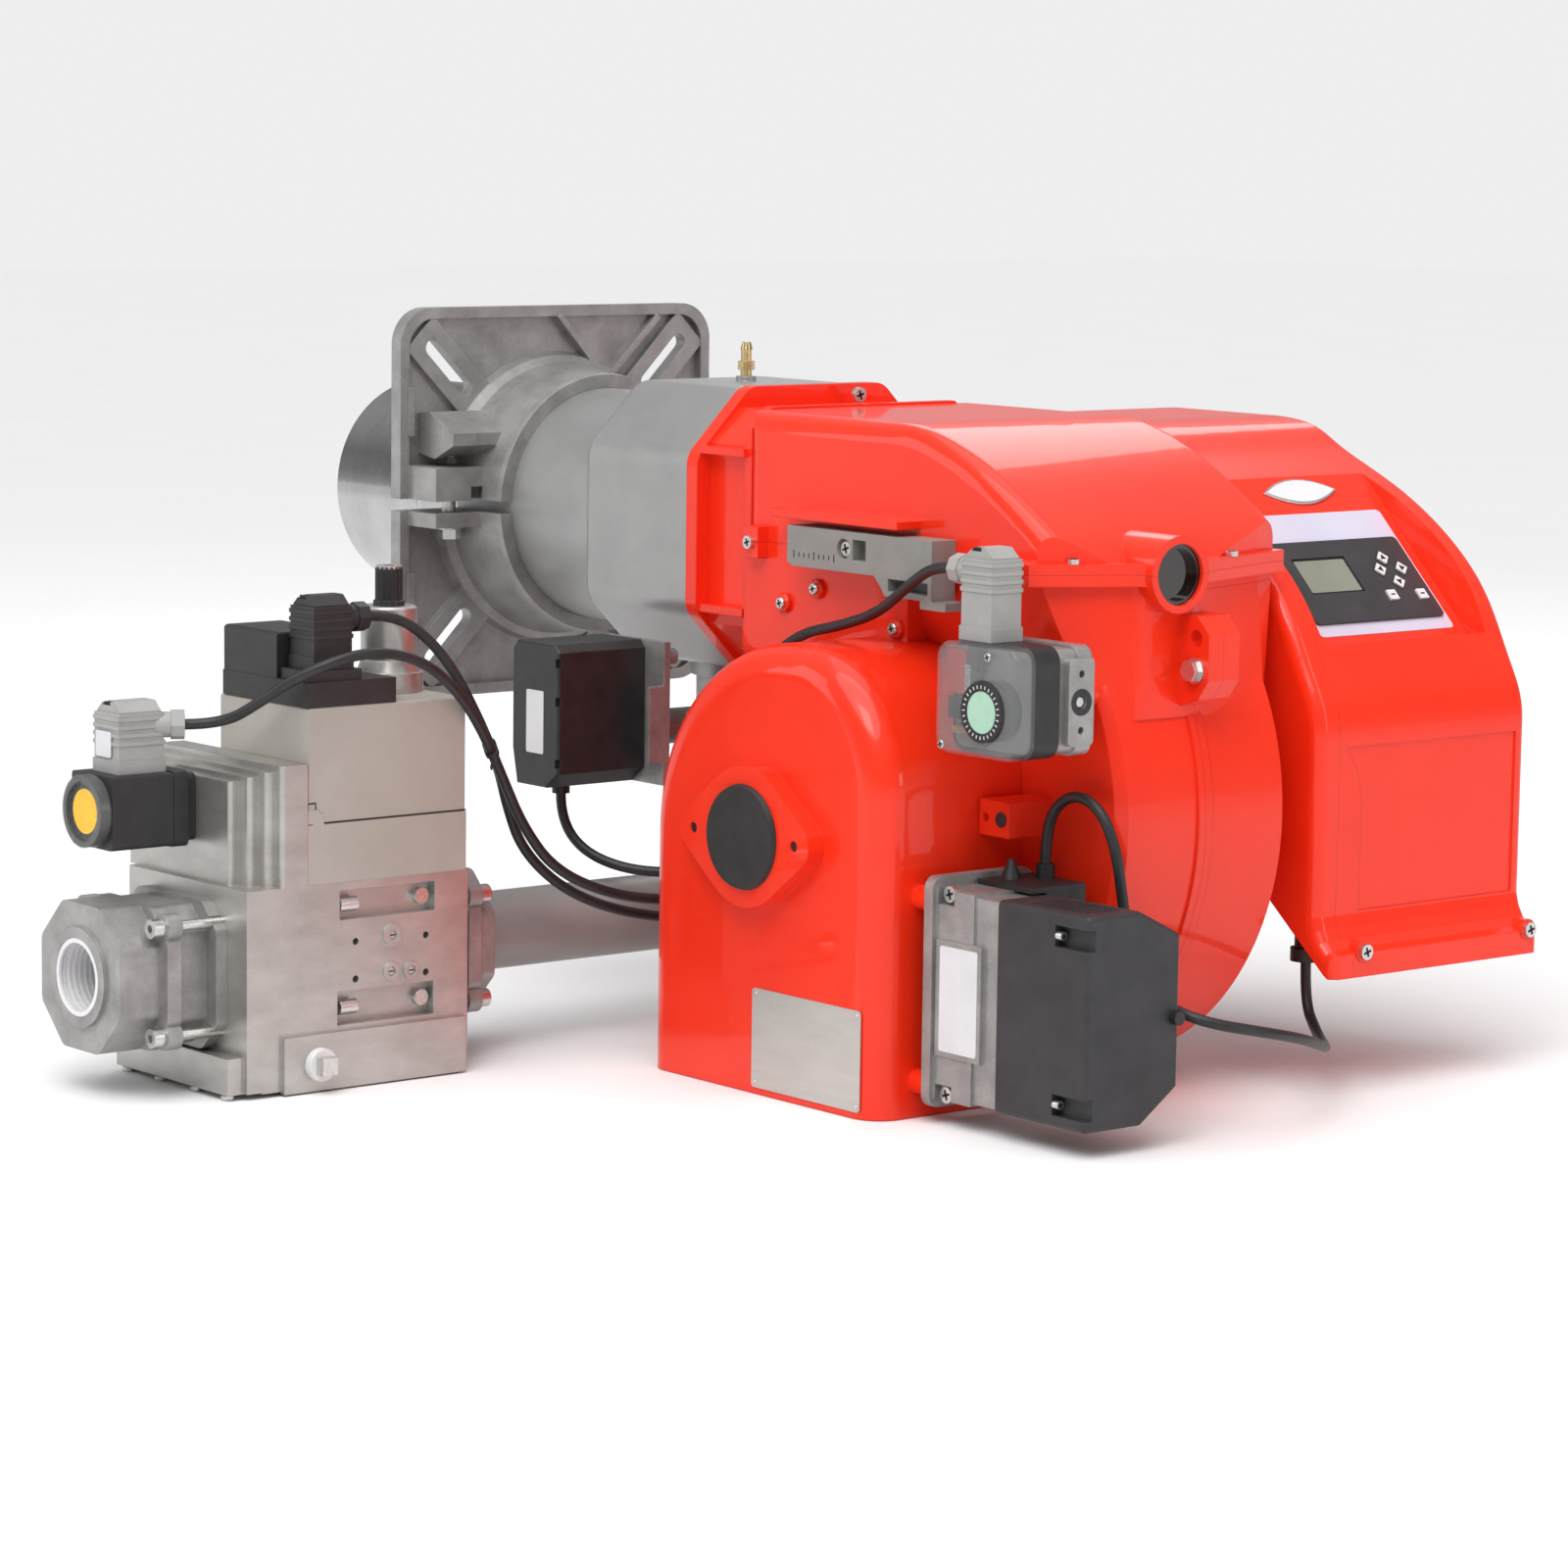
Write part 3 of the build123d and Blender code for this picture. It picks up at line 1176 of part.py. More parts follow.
with BuildPart() as gas_train_fasteners:
    for y_face, out, depth in ((BY0, -1, 86.0), (BY1, 1, 50.0)):
        y1 = y_face + out * (depth * 0.52 + 6)
        with BuildSketch(facing_near(max(y_face, y1))):
            with Locations((GX, GZ)):
                with Locations((-54, 40), (54, 40), (-54, -40), (54, -40)):
                    Circle(4.0)
        extrude(amount=abs(y1 - y_face))
        with BuildSketch(facing_near(max(y1, y1 + out * 10))):
            with Locations((GX, GZ)):
                with Locations((-54, 40), (54, 40), (-54, -40), (54, -40)):
                    Circle(7.0)
        extrude(amount=10)
        with BuildSketch(facing_near(y1 + out * 10)):
            with Locations((GX, GZ)):
                with Locations((-54, 40), (54, 40), (-54, -40), (54, -40)):
                    RegularPolygon(3.4, 6)
        extrude(amount=5 * out, mode=Mode.SUBTRACT)
    # small fittings of the valve block: pins and screws of the side recesses,
    # plug of the lower strip, screws of the foot plate
    for z in (-257, -333.5):
        with BuildSketch(facing_x(BX1 - 10)):
            with Locations((-381, z)):
                Circle(6)
        extrude(amount=6)
        with BuildSketch(facing_near(-441)):
            with Locations((BX1 - 4, z)):
                Circle(5.5)
        extrude(amount=15.5)
    with BuildSketch(facing_x(BX1 + 4)):
        with Locations((-478, -372)):
            Circle(12)
    extrude(amount=6)
    with BuildSketch(facing_x(BX1 + 10)):
        with Locations((-478, -372)):
            Rectangle(13, 13)
    extrude(amount=9)
    with BuildSketch(level(-393)):
        with Locations((216, -546), (260, -546), (308, -546), (350, -546), (216, -352), (352, -352), (216, -450),
                       (352, -450)):
            Circle(5)
    extrude(amount=3)
gas_train_fasteners.part.label = "gas_train_fasteners"
export_step(gas_train_fasteners.part, "parts/gas_train_fasteners.step")

with BuildPart() as solenoid_housing:
    with Locations(((245 + BX1) / 2, (-485 - 344) / 2, -218)):
        Box(BX1 - 245, 141, 44)
    with Locations(((245 + BX1) / 2, (-485 - 344) / 2, -153)):
        Box(BX1 - 245 - 1.6, 139.4, 86)
    # step of the seam between its two shells
    with Locations((BX1 - 4, -480, -190), (BX1 - 4, -476, -193)):
        Box(8, 10, 10)
    fillet(solenoid_housing.faces().sort_by(Axis.Z)[-1].edges(), 2.5)
solenoid_housing.part.label = "solenoid_housing"
export_step(solenoid_housing.part, "parts/solenoid_housing.step")

with BuildPart() as terminal_box:
    with Locations((306, -446, -101)):
        Box(112, 78, 18)
    with Locations((286, -459, -83)):
        Box(70, 51, 50)
    fillet(terminal_box.faces().sort_by(Axis.Z)[-1].edges(), 3)
    with Locations((341, -459, -89)):
        Box(37, 46, 10)
terminal_box.part.label = "terminal_box"
export_step(terminal_box.part, "parts/terminal_box.step")

with BuildPart() as valve_connector:
    connector(341, -459, -84, -30, 31, 33, (0, 1))
valve_connector.part.label = "valve_connector"
export_step(valve_connector.part, "parts/valve_connector.step")

with BuildPart() as hydraulic_brake:
    with BuildSketch(level(-110)):
        with Locations((302, -372)):
            Circle(26)
    extrude(amount=15)
    with BuildSketch(level(-95)):
        with Locations((302, -372)):
            Circle(24)
    extrude(amount=9, taper=20)
    with BuildSketch(level(-86)):
        with Locations((302, -372)):
            Circle(20)
    extrude(amount=4)
    with BuildSketch(level(-90)):
        with Locations((302, -372)):
            Circle(4.03)
    extrude(amount=10, mode=Mode.SUBTRACT)
hydraulic_brake.part.label = "hydraulic_brake"
export_step(hydraulic_brake.part, "parts/hydraulic_brake.step")

with BuildPart() as brake_knob:
    with BuildSketch(level(-81.95)):
        with Locations((302, -372)):
            Circle(21)
    extrude(amount=36)
    chamfer(brake_knob.faces().sort_by(Axis.Z)[-1].edges(), 1.5)
    # cap over the adjusting screw
    with BuildSketch(level(-46)):
        with Locations((302, -372)):
            Circle(9.5)
    extrude(amount=30)
    with BuildSketch(level(-89.5)):
        with Locations((302, -372)):
            Circle(4)
    extrude(amount=9)
    with BuildSketch(level(-16)):
        with Locations((302, -372)):
            RegularPolygon(5, 6)
    extrude(amount=-4, mode=Mode.SUBTRACT)
brake_knob.part.label = "brake_knob"
export_step(brake_knob.part, "parts/brake_knob.step")

GS_X, GS_Z = 263.0, -187.0
with BuildPart() as gas_switch_body:
    with BuildSketch(facing_near(-542)):
        with Locations((GS_X, GS_Z)):
            RectangleRounded(58, 56, 5)
    extrude(amount=12)
    with BuildSketch(facing_near(-554)):
        with Locations((GS_X, GS_Z)):
            RectangleRounded(56, 54, 3)
    extrude(amount=52)
    with BuildSketch(facing_near(-532)):
        with Locations((GS_X - 3, GS_Z)):
            RectangleRounded(52, 50, 5)
    extrude(amount=10)
    with BuildSketch(facing_near(-606)):
        with Locations((GS_X, GS_Z)):
            Circle(4.03)
    extrude(amount=-6, mode=Mode.SUBTRACT)
gas_switch_body.part.label = "gas_switch_body"
export_step(gas_switch_body.part, "parts/gas_switch_body.step")

with BuildPart() as gas_switch_dial:
    with BuildSketch(facing_near(-606.05)):
        with Locations((GS_X, GS_Z)):
            Circle(27)
    extrude(amount=9)
    with BuildSketch(facing_near(-612)):
        with Locations((GS_X, GS_Z)):
            Circle(21)
    extrude(amount=4, mode=Mode.SUBTRACT)
    with BuildSketch(facing_near(-600.5)):
        with Locations((GS_X, GS_Z)):
            Circle(4)
    extrude(amount=6)
gas_switch_dial.part.label = "gas_switch_dial"
export_step(gas_switch_dial.part, "parts/gas_switch_dial.step")

# plug connectors of the two pressure switches
with BuildPart() as switch_connectors:
    connector(741, -162, -44, 22, 32, 28, (-1, 0))
    connector(264, -575, -160, -108, 34, 38, (0.5, 0.8660254))
switch_connectors.part.label = "switch_connectors"
export_step(switch_connectors.part, "parts/switch_connectors.step")

# ============================================================ gas pipe and butterfly valve
with BuildPart() as gas_pipe:
    with BuildLine() as pipe_path:
        FilletPolyline((GX, -312, GZ), (GX, 0, GZ), (GX, 0, -196), radius=76)
    with BuildSketch(Plane((GX, -312, GZ), x_dir=(1, 0, 0), z_dir=(0, 1, 0))):
        Circle(PIPE_R)
        Circle(PIPE_R - PIPE_WALL, mode=Mode.SUBTRACT)
    sweep()
gas_pipe.part.label = "gas_pipe"
export_step(gas_pipe.part, "parts/gas_pipe.step")

with BuildPart() as butterfly_valve:
    with BuildSketch(level(-196)):
        with Locations((GX, 0)):
            Circle(45)
    extrude(amount=74)
    with BuildSketch(level(-205)):
        with Locations((GX, 0)):
            Circle(40)
    extrude(amount=12)
    # neck of the spindle and bracket that carries the actuator
    with BuildSketch(facing_near(-30, GX, -159)):
        Circle(14)
    extrude(amount=92)
    with Locations((286, -125, -142)):
        Box(76, 6, 112)
    with Locations((322, -132, -150)):
        Box(4, 20, 60)
    for x, z in ((316, -98), (316, -190)):
        with BuildSketch(facing_near(-122, x, z)):
            Circle(6.5)
        extrude(amount=-9)
    with BuildSketch(level(-206)):
        with Locations((GX, 0)):
            Circle(PIPE_R + 0.02)
    extrude(amount=10, mode=Mode.SUBTRACT)
    with BuildSketch(level(-206)):
        with Locations((GX, 0)):
            Circle(26)
    extrude(amount=90, mode=Mode.SUBTRACT)
    with BuildSketch(facing_near(60, GX, -159)):
        Circle(5.04)
    extrude(amount=200, mode=Mode.SUBTRACT)
butterfly_valve.part.label = "butterfly_valve"
export_step(butterfly_valve.part, "parts/butterfly_valve.step")

with BuildPart() as butterfly_disc:
    with BuildSketch(facing_near(38, GX, -159)):
        Circle(5)
    extrude(amount=165)
    with BuildSketch(level(-160.5)):
        with Locations((GX, 0)):
            Circle(25.2)
    extrude(amount=3)
butterfly_disc.part.label = "butterfly_disc"
export_step(butterfly_disc.part, "parts/butterfly_disc.step")

with BuildPart() as butterfly_actuator:
    with BuildSketch(facing_near(-128)):
        Polygon((240, -92), (240, -170), (246, -198), (284, -198), (300, -186), (300, -92), (294, -86), (246, -86),
                align=None)
    extrude(amount=84)
    fillet(butterfly_actuator.faces().sort_by(Axis.Y)[0].edges(), 2)
    for z in (-100, -130, -178):
        with Locations((300, -214, z)):
            Box(8, 10, 7, mode=Mode.SUBTRACT)
    with BuildSketch(facing_near(-127, GX, -159)):
        Circle(5.06)
    extrude(amount=14, mode=Mode.SUBTRACT)
    with BuildSketch(level(-206)):
        with Locations((264, -182)):
            Circle(7)
    extrude(amount=9)
butterfly_actuator.part.label = "butterfly_actuator"
export_step(butterfly_actuator.part, "parts/butterfly_actuator.step")


# ============================================================ control cables
def bend_radii(points):
    """Radius of each bend: as large as the shorter of its two runs allows."""
    radii = []
    for a, b, c in zip(points, points[1:], points[2:]):
        r1, r2 = Vector(*b) - Vector(*a), Vector(*c) - Vector(*b)
        turn = math.radians(r1.get_angle(r2))
        radii.append(0.45 * min(r1.length, r2.length) / math.tan(turn / 2))
    return radii


CABLES = {
    "gas_switch_cable": [(284, -540.359, -126), (298, -516.11, -126), (328, -504, -108), (358, -493, -88),
                         (377, -466, -73), (378, -428, -70), (377, -390, -81), (372, -356, -107), (362, -328, -138),
                         (350, -302, -174), (342, -276, -216), (346, -248, -252), (360, -200, -274), (372, -140, -281),
                         (373, -60, -284), (372, 20, -285), (374, 88, -280), (384, 144, -258), (402, 182, -218),
                         (424, 202, -170), (440, 208, -122), (440, 208, -82)],
    "valve_cable": [(341, -421.5, -48), (341, -400, -48), (344, -374, -60), (352, -350, -88), (354, -326, -130),
                    (343, -300, -168), (326, -280, -200), (322, -262, -238), (330, -226, -272), (346, -176, -292),
                    (358, -110, -300), (360, -34, -303), (362, 44, -304), (366, 112, -299), (378, 170, -274),
                    (398, 212, -230), (424, 232, -180), (440, 236, -126), (440, 236, -82)],
    "actuator_cable": [(264, -182, -206), (264, -182, -228), (282, -170, -254), (316, -144, -266), (346, -104, -264),
                       (357, -44, -263), (358, 24, -264), (364, 86, -256), (378, 134, -230), (402, 166, -190),
                       (426, 179, -148), (440, 180, -110), (440, 180, -82)],
    "air_switch_cable": [(704, -162, 4), (680, -162, 4), (640, -152, -14), (600, -146, -38), (550, -140, -52),
                         (500, -134, -62), (462, -131, -82), (432, -130, -118), (410, -130, -164), (396, -126, -210),
                         (382, -108, -242), (371, -64, -252), (368, 4, -250), (370, 64, -242), (382, 112, -218),
                         (404, 140, -182), (428, 151, -144), (440, 152, -110), (440, 152, -82)],
    "servo_cable": [(742, -106, -208), (742, -106, -186), (752, -106, -164), (774, -105, -154), (796, -103, -164),
                    (807, -99, -188), (809, -94, -220), (812, -91, -250), (824, -91, -278), (850, -90, -297),
                    (882, -78, -306), (896, -40, -314), (888, 12, -326), (860, 64, -342), (816, 108, -353),
                    (777, 139, -352), (753, 150, -334), (753, 150, -302)],
}
for name, route in CABLES.items():
    radii = bend_radii(route)
    with BuildPart() as cable:
        with BuildLine() as path:
            FilletPolyline(*route, radius=radii)
        with BuildSketch(Plane(route[0], z_dir=Vector(*route[1]) - Vector(*route[0]))):
            Circle(CORD)
        sweep()
    cable.part.label = name
    export_step(cable.part, "parts/" + name + ".step")
    length = path.line.length if hasattr(path.line, "length") else sum(e.length for e in path.edges())
    print(name, "radii", [round(r) for r in radii], "runs",
          [round((Vector(*b) - Vector(*a)).length) for a, b in zip(route, route[1:])],
          "volume", round(cable.part.volume / (math.pi * CORD ** 2 * length), 3), "solids", len(cable.part.solids()))
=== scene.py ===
import math
import random

import bpy
from mathutils import Matrix, Vector


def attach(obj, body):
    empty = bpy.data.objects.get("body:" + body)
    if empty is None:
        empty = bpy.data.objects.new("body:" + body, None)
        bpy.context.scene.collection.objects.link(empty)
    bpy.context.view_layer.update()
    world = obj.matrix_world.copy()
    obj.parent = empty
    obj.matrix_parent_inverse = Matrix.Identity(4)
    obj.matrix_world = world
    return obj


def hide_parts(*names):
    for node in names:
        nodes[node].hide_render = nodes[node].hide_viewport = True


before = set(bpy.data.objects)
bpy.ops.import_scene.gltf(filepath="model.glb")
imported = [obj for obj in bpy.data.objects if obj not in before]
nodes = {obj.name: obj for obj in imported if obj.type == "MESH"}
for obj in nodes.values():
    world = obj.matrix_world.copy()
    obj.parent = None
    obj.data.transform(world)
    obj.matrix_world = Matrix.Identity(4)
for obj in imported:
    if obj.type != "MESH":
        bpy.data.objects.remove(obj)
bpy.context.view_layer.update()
random.seed(7)
ROOT = "burner"
FLOOR = -0.393


# ------------------------------------------------------------------ materials
def new_material(name):
    m = bpy.data.materials.new(name)
    m.use_nodes = True
    nt = m.node_tree
    nt.nodes.clear()
    out = nt.nodes.new("ShaderNodeOutputMaterial")
    bsdf = nt.nodes.new("ShaderNodeBsdfPrincipled")
    nt.links.new(bsdf.outputs["BSDF"], out.inputs["Surface"])
    return m, nt, bsdf


def noise(nt, scale, detail=3.0, rough=0.55, stretch=None):
    tc = nt.nodes.new("ShaderNodeTexCoord")
    mp = nt.nodes.new("ShaderNodeMapping")
    mp.inputs["Scale"].default_value = stretch or (1, 1, 1)
    nt.links.new(tc.outputs["Object"], mp.inputs["Vector"])
    n = nt.nodes.new("ShaderNodeTexNoise")
    n.inputs["Scale"].default_value = scale
    n.inputs["Detail"].default_value = detail
    n.inputs["Roughness"].default_value = rough
    nt.links.new(mp.outputs["Vector"], n.inputs["Vector"])
    return n


def ramp(nt, src, a, b, lo=0.35, hi=0.65):
    r = nt.nodes.new("ShaderNodeMapRange")
    r.inputs["From Min"].default_value = lo
    r.inputs["From Max"].default_value = hi
    r.inputs["To Min"].default_value = a
    r.inputs["To Max"].default_value = b
    nt.links.new(src, r.inputs["Value"])
    return r.outputs["Result"]


def mix_colour(nt, fac, a, b):
    m = nt.nodes.new("ShaderNodeMix")
    m.data_type = "RGBA"
    m.inputs["A"].default_value = (*a, 1)
    m.inputs["B"].default_value = (*b, 1)
    nt.links.new(fac, m.inputs["Factor"])
    return m.outputs["Result"]


def bump(nt, bsdf, layers, edge=0.0007):
    """Rounded edges, then each (height output, strength, distance) on top."""
    bev = nt.nodes.new("ShaderNodeBevel")
    bev.samples = 4
    bev.inputs["Radius"].default_value = edge
    last = bev.outputs["Normal"]
    for height, strength, distance in layers:
        b = nt.nodes.new("ShaderNodeBump")
        b.inputs["Strength"].default_value = strength
        b.inputs["Distance"].default_value = distance
        nt.links.new(height, b.inputs["Height"])
        nt.links.new(last, b.inputs["Normal"])
        last = b.outputs["Normal"]
    nt.links.new(last, bsdf.inputs["Normal"])


def surface(name, a, b, metal=0.0, rough=(0.4, 0.5), grain=600.0, blotch=25.0, bumps=((900.0, 0.2, 0.0002),),
            coat=0.0, coat_rough=0.1, edge=0.0007, stretch=None, spec=0.5, fine=0.35):
    """A procedural surface: colour a to b by a coarse and a fine noise, roughness
    by the fine noise, and bumps as (scale, strength, depth)."""
    m, nt, p = new_material(name)
    coarse = noise(nt, blotch, 4, 0.6, stretch)
    small = noise(nt, grain, 2, 0.5, stretch)
    mixed = nt.nodes.new("ShaderNodeMix")
    mixed.data_type = "FLOAT"
    mixed.inputs["Factor"].default_value = fine
    nt.links.new(coarse.outputs["Fac"], mixed.inputs["A"])
    nt.links.new(small.outputs["Fac"], mixed.inputs["B"])
    fac = ramp(nt, mixed.outputs["Result"], 0, 1)
    nt.links.new(mix_colour(nt, fac, a, b), p.inputs["Base Color"])
    nt.links.new(ramp(nt, small.outputs["Fac"], rough[0], rough[1]), p.inputs["Roughness"])
    p.inputs["Metallic"].default_value = metal
    p.inputs["Specular IOR Level"].default_value = spec
    p.inputs["Coat Weight"].default_value = coat
    p.inputs["Coat Roughness"].default_value = coat_rough
    layers = []
    for s, strength, depth in bumps:
        layers.append((noise(nt, s, 3, 0.5, stretch).outputs["Fac"], strength, depth))
    bump(nt, p, layers, edge)
    return m


RED = surface("red_enamel", (0.86, 0.026, 0.006), (0.92, 0.034, 0.008), rough=(0.28, 0.38), grain=1400, blotch=9,
              bumps=((26, 0.10, 0.0012), (900, 0.10, 0.00015)), coat=0.5, coat_rough=0.04, edge=0.0018, spec=0.18)
CAST = surface("cast_aluminium", (0.27, 0.262, 0.255), (0.43, 0.42, 0.41), metal=0.65, rough=(0.40, 0.56), grain=900,
               blotch=38, bumps=((1500, 0.35, 0.00022), (120, 0.18, 0.0006)), edge=0.0009)
BLOCK = surface("valve_aluminium", (0.42, 0.405, 0.385), (0.56, 0.545, 0.52), metal=0.8, rough=(0.30, 0.46), grain=700,
                blotch=22, bumps=((1100, 0.22, 0.00018), (60, 0.10, 0.0006)), edge=0.0009, stretch=(1, 1, 2.2))
SATIN = surface("satin_housing", (0.31, 0.31, 0.305), (0.38, 0.38, 0.375), metal=0.5, rough=(0.32, 0.42), grain=1500,
                blotch=14, bumps=((1800, 0.22, 0.00012), (40, 0.08, 0.0008)), coat=0.15, coat_rough=0.3, edge=0.0016)
POLISH = surface("polished_tube", (0.40, 0.40, 0.41), (0.54, 0.535, 0.53), metal=1.0, rough=(0.07, 0.14), grain=260,
                 blotch=9, bumps=((7, 0.25, 0.0022), (420, 0.08, 0.00006)), stretch=(3, 1, 1), edge=0.0005)
GREYP = surface("grey_paint", (0.30, 0.295, 0.29), (0.36, 0.355, 0.35), metal=0.15, rough=(0.36, 0.46), grain=1500,
                blotch=12, bumps=((1200, 0.22, 0.00015), (60, 0.06, 0.0006)), coat=0.1, coat_rough=0.3)
STEEL = surface("sheet_steel", (0.42, 0.42, 0.43), (0.55, 0.55, 0.56), metal=0.95, rough=(0.28, 0.42), grain=800,
                blotch=30, bumps=((900, 0.15, 0.0001),))
ZINC = surface("zinc_plate", (0.56, 0.56, 0.54), (0.70, 0.70, 0.68), metal=0.95, rough=(0.22, 0.36), grain=2400,
               blotch=300, bumps=((2500, 0.15, 0.00006),), edge=0.0004)
BRASS = surface("bright_brass", (0.62, 0.46, 0.20), (0.72, 0.58, 0.30), metal=1.0, rough=(0.18, 0.30), grain=2000,
                blotch=200, bumps=((1800, 0.12, 0.00005),), edge=0.0003)
CERAM = surface("glazed_ceramic", (0.78, 0.76, 0.70), (0.86, 0.84, 0.79), rough=(0.12, 0.2), bumps=((500, 0.05, 0.0001),),
                coat=0.5)
BLACK = surface("black_plastic", (0.012, 0.011, 0.012), (0.024, 0.022, 0.024), rough=(0.42, 0.54), grain=2200,
                blotch=60, bumps=((2600, 0.35, 0.00012),), edge=0.0006)
SERVO = surface("servo_plastic", (0.020, 0.019, 0.021), (0.036, 0.034, 0.038), rough=(0.46, 0.60), grain=2600,
                blotch=40, bumps=((2300, 0.55, 0.00018),), edge=0.0009)
GREYPL = surface("grey_plastic", (0.33, 0.325, 0.31), (0.38, 0.37, 0.36), rough=(0.42, 0.5), grain=2500, blotch=60,
                 bumps=((2400, 0.25, 0.0001),), edge=0.0006)
HOLDER = surface("holder_plastic", (0.22, 0.22, 0.205), (0.27, 0.265, 0.25), rough=(0.42, 0.52), grain=2500,
                 blotch=50, bumps=((2200, 0.3, 0.0001),), edge=0.0006)
BEIGE = surface("beige_housing", (0.36, 0.335, 0.30), (0.42, 0.395, 0.35), rough=(0.38, 0.48), grain=2000, blotch=16,
                bumps=((1800, 0.28, 0.00012),), edge=0.0009)
RUBBER = surface("cable_sheath", (0.010, 0.010, 0.011), (0.022, 0.022, 0.024), rough=(0.40, 0.52), grain=900, blotch=50,
                 bumps=((1500, 0.2, 0.0001),), edge=0.0)
PLUGR = surface("plug_rubber", (0.016, 0.015, 0.015), (0.030, 0.028, 0.028), rough=(0.5, 0.64), grain=1800, blotch=60,
                bumps=((1900, 0.4, 0.00015),))
MOTOR = surface("motor_paint", (0.18, 0.185, 0.19), (0.24, 0.245, 0.25), metal=0.2, rough=(0.40, 0.52), grain=1200,
                blotch=20, bumps=((1300, 0.3, 0.00018),))
LABEL = surface("blank_label", (0.66, 0.66, 0.67), (0.74, 0.74, 0.75), rough=(0.34, 0.42), grain=1500, blotch=30,
                bumps=((700, 0.05, 0.00005),), edge=0.0002)
PLATE = surface("blank_plate", (0.52, 0.50, 0.47), (0.60, 0.58, 0.55), metal=0.5, rough=(0.30, 0.40), grain=1200,
                blotch=18, bumps=((400, 0.05, 0.00005),), stretch=(1, 1, 6), edge=0.0003)
STICK = surface("lilac_sticker", (0.60, 0.56, 0.68), (0.66, 0.62, 0.74), rough=(0.30, 0.36), grain=1500, blotch=12,
                bumps=((600, 0.04, 0.00005),), edge=0.0002)
LCD = surface("display_glass", (0.22, 0.22, 0.17), (0.27, 0.27, 0.21), rough=(0.08, 0.12), grain=900, blotch=14,
              bumps=(), coat=0.6, coat_rough=0.02, edge=0.0)
BEZEL = surface("bezel_plastic", (0.030, 0.027, 0.030), (0.045, 0.041, 0.045), rough=(0.34, 0.42), grain=2400,
                blotch=30, bumps=((2200, 0.25, 0.0001),), edge=0.0008)
KEYW = surface("key_white", (0.70, 0.69, 0.68), (0.78, 0.77, 0.76), rough=(0.34, 0.44), grain=2000, blotch=200,
               bumps=((1500, 0.1, 0.00005),), edge=0.0004)
WHITE = surface("white_nylon", (0.72, 0.71, 0.72), (0.80, 0.79, 0.80), rough=(0.36, 0.46), grain=1500, blotch=60,
                bumps=((1200, 0.15, 0.0001),), edge=0.0006)
YELLOW = surface("yellow_dial", (0.86, 0.46, 0.01), (0.92, 0.54, 0.02), rough=(0.3, 0.4), grain=1500, blotch=80,
                 bumps=(), edge=0.0)
GREEN = surface("green_dial", (0.36, 0.60, 0.44), (0.42, 0.66, 0.50), rough=(0.3, 0.4), grain=1500, blotch=80,
                bumps=(), edge=0.0)
# near-black flat colour: used for print, ticks and seams, and as painted shade in screw crosses, slots, holes and round
# the display
DARK = surface("print_seam_and_painted_shade", (0.004, 0.004, 0.004), (0.008, 0.008, 0.008), rough=(0.6, 0.7), bumps=(), edge=0.0)
REDPL = surface("red_plastic", (0.60, 0.03, 0.02), (0.66, 0.04, 0.03), rough=(0.3, 0.4), grain=1500, blotch=80,
                bumps=(), edge=0.0)
PANE = surface("dark_glass", (0.010, 0.003, 0.003), (0.022, 0.006, 0.006), rough=(0.04, 0.08), grain=300, blotch=12,
               bumps=((60, 0.05, 0.0004),), coat=1.0, coat_rough=0.02, edge=0.0003)
COPPER = surface("contact_brass", (0.55, 0.38, 0.20), (0.65, 0.46, 0.26), metal=1.0, rough=(0.25, 0.35), bumps=(),
                 edge=0.0)


CLEAR, cnt, cp = new_material("clear_cover")
cn = noise(cnt, 260, 2)
cnt.links.new(mix_colour(cnt, cn.outputs["Fac"], (0.26, 0.27, 0.27), (0.34, 0.35, 0.35)), cp.inputs["Base Color"])
cnt.links.new(ramp(cnt, cn.outputs["Fac"], 0.05, 0.12), cp.inputs["Roughness"])
cp.inputs["Alpha"].default_value = 0.27
cp.inputs["Coat Weight"].default_value = 0.6
cp.inputs["Coat Roughness"].default_value = 0.03
bump(cnt, cp, [(noise(cnt, 180, 2).outputs["Fac"], 0.05, 0.0003)], 0.0012)

LOOK = {
    RED: ["casing_lid", "fan_casing_near", "fan_casing_far", "suction_box", "control_cover", "control_base"],
    POLISH: ["blast_tube"],
    SATIN: ["head_housing", "neck_tube"],
    GREYP: ["gas_pipe"],
    CAST: ["flange_upper", "flange_lower", "gas_inlet_flange", "gas_outlet_flange", "servo_base", "air_switch_body",
           "butterfly_valve"],
    BLOCK: ["valve_block", "hydraulic_brake", "brake_knob"],
    STEEL: ["gas_head", "diffuser_disc", "fan_impeller", "motor_shaft", "butterfly_disc", "air_damper"],
    ZINC: ["flange_clamp_bolts", "casing_fasteners", "gas_train_fasteners"],
    BRASS: ["pressure_nipple"],
    CERAM: ["electrodes"],
    SERVO: ["servo_cover"],
    BLACK: ["air_switch_case", "terminal_box", "valve_connector", "gas_switch_body", "butterfly_actuator",
            "cable_glands"],
    BEZEL: ["display_unit", "air_switch_dial"],
    GREYPL: ["switch_connectors"],
    HOLDER: ["cable_holder"],
    BEIGE: ["solenoid_housing"],
    CLEAR: ["air_switch_cover", "gas_switch_dial"],
    KEYW: ["key_up", "key_left", "key_right", "key_down", "key_enter", "key_info"],
    PLUGR: ["rubber_plug"],
    PANE: ["sight_glass"],
    MOTOR: ["fan_motor", "motor_cowl"],
}
for look, names in LOOK.items():
    for n in names:
        o = nodes[n]
        for s in o.material_slots:
            s.material = look
        if not o.material_slots:
            o.data.materials.append(look)


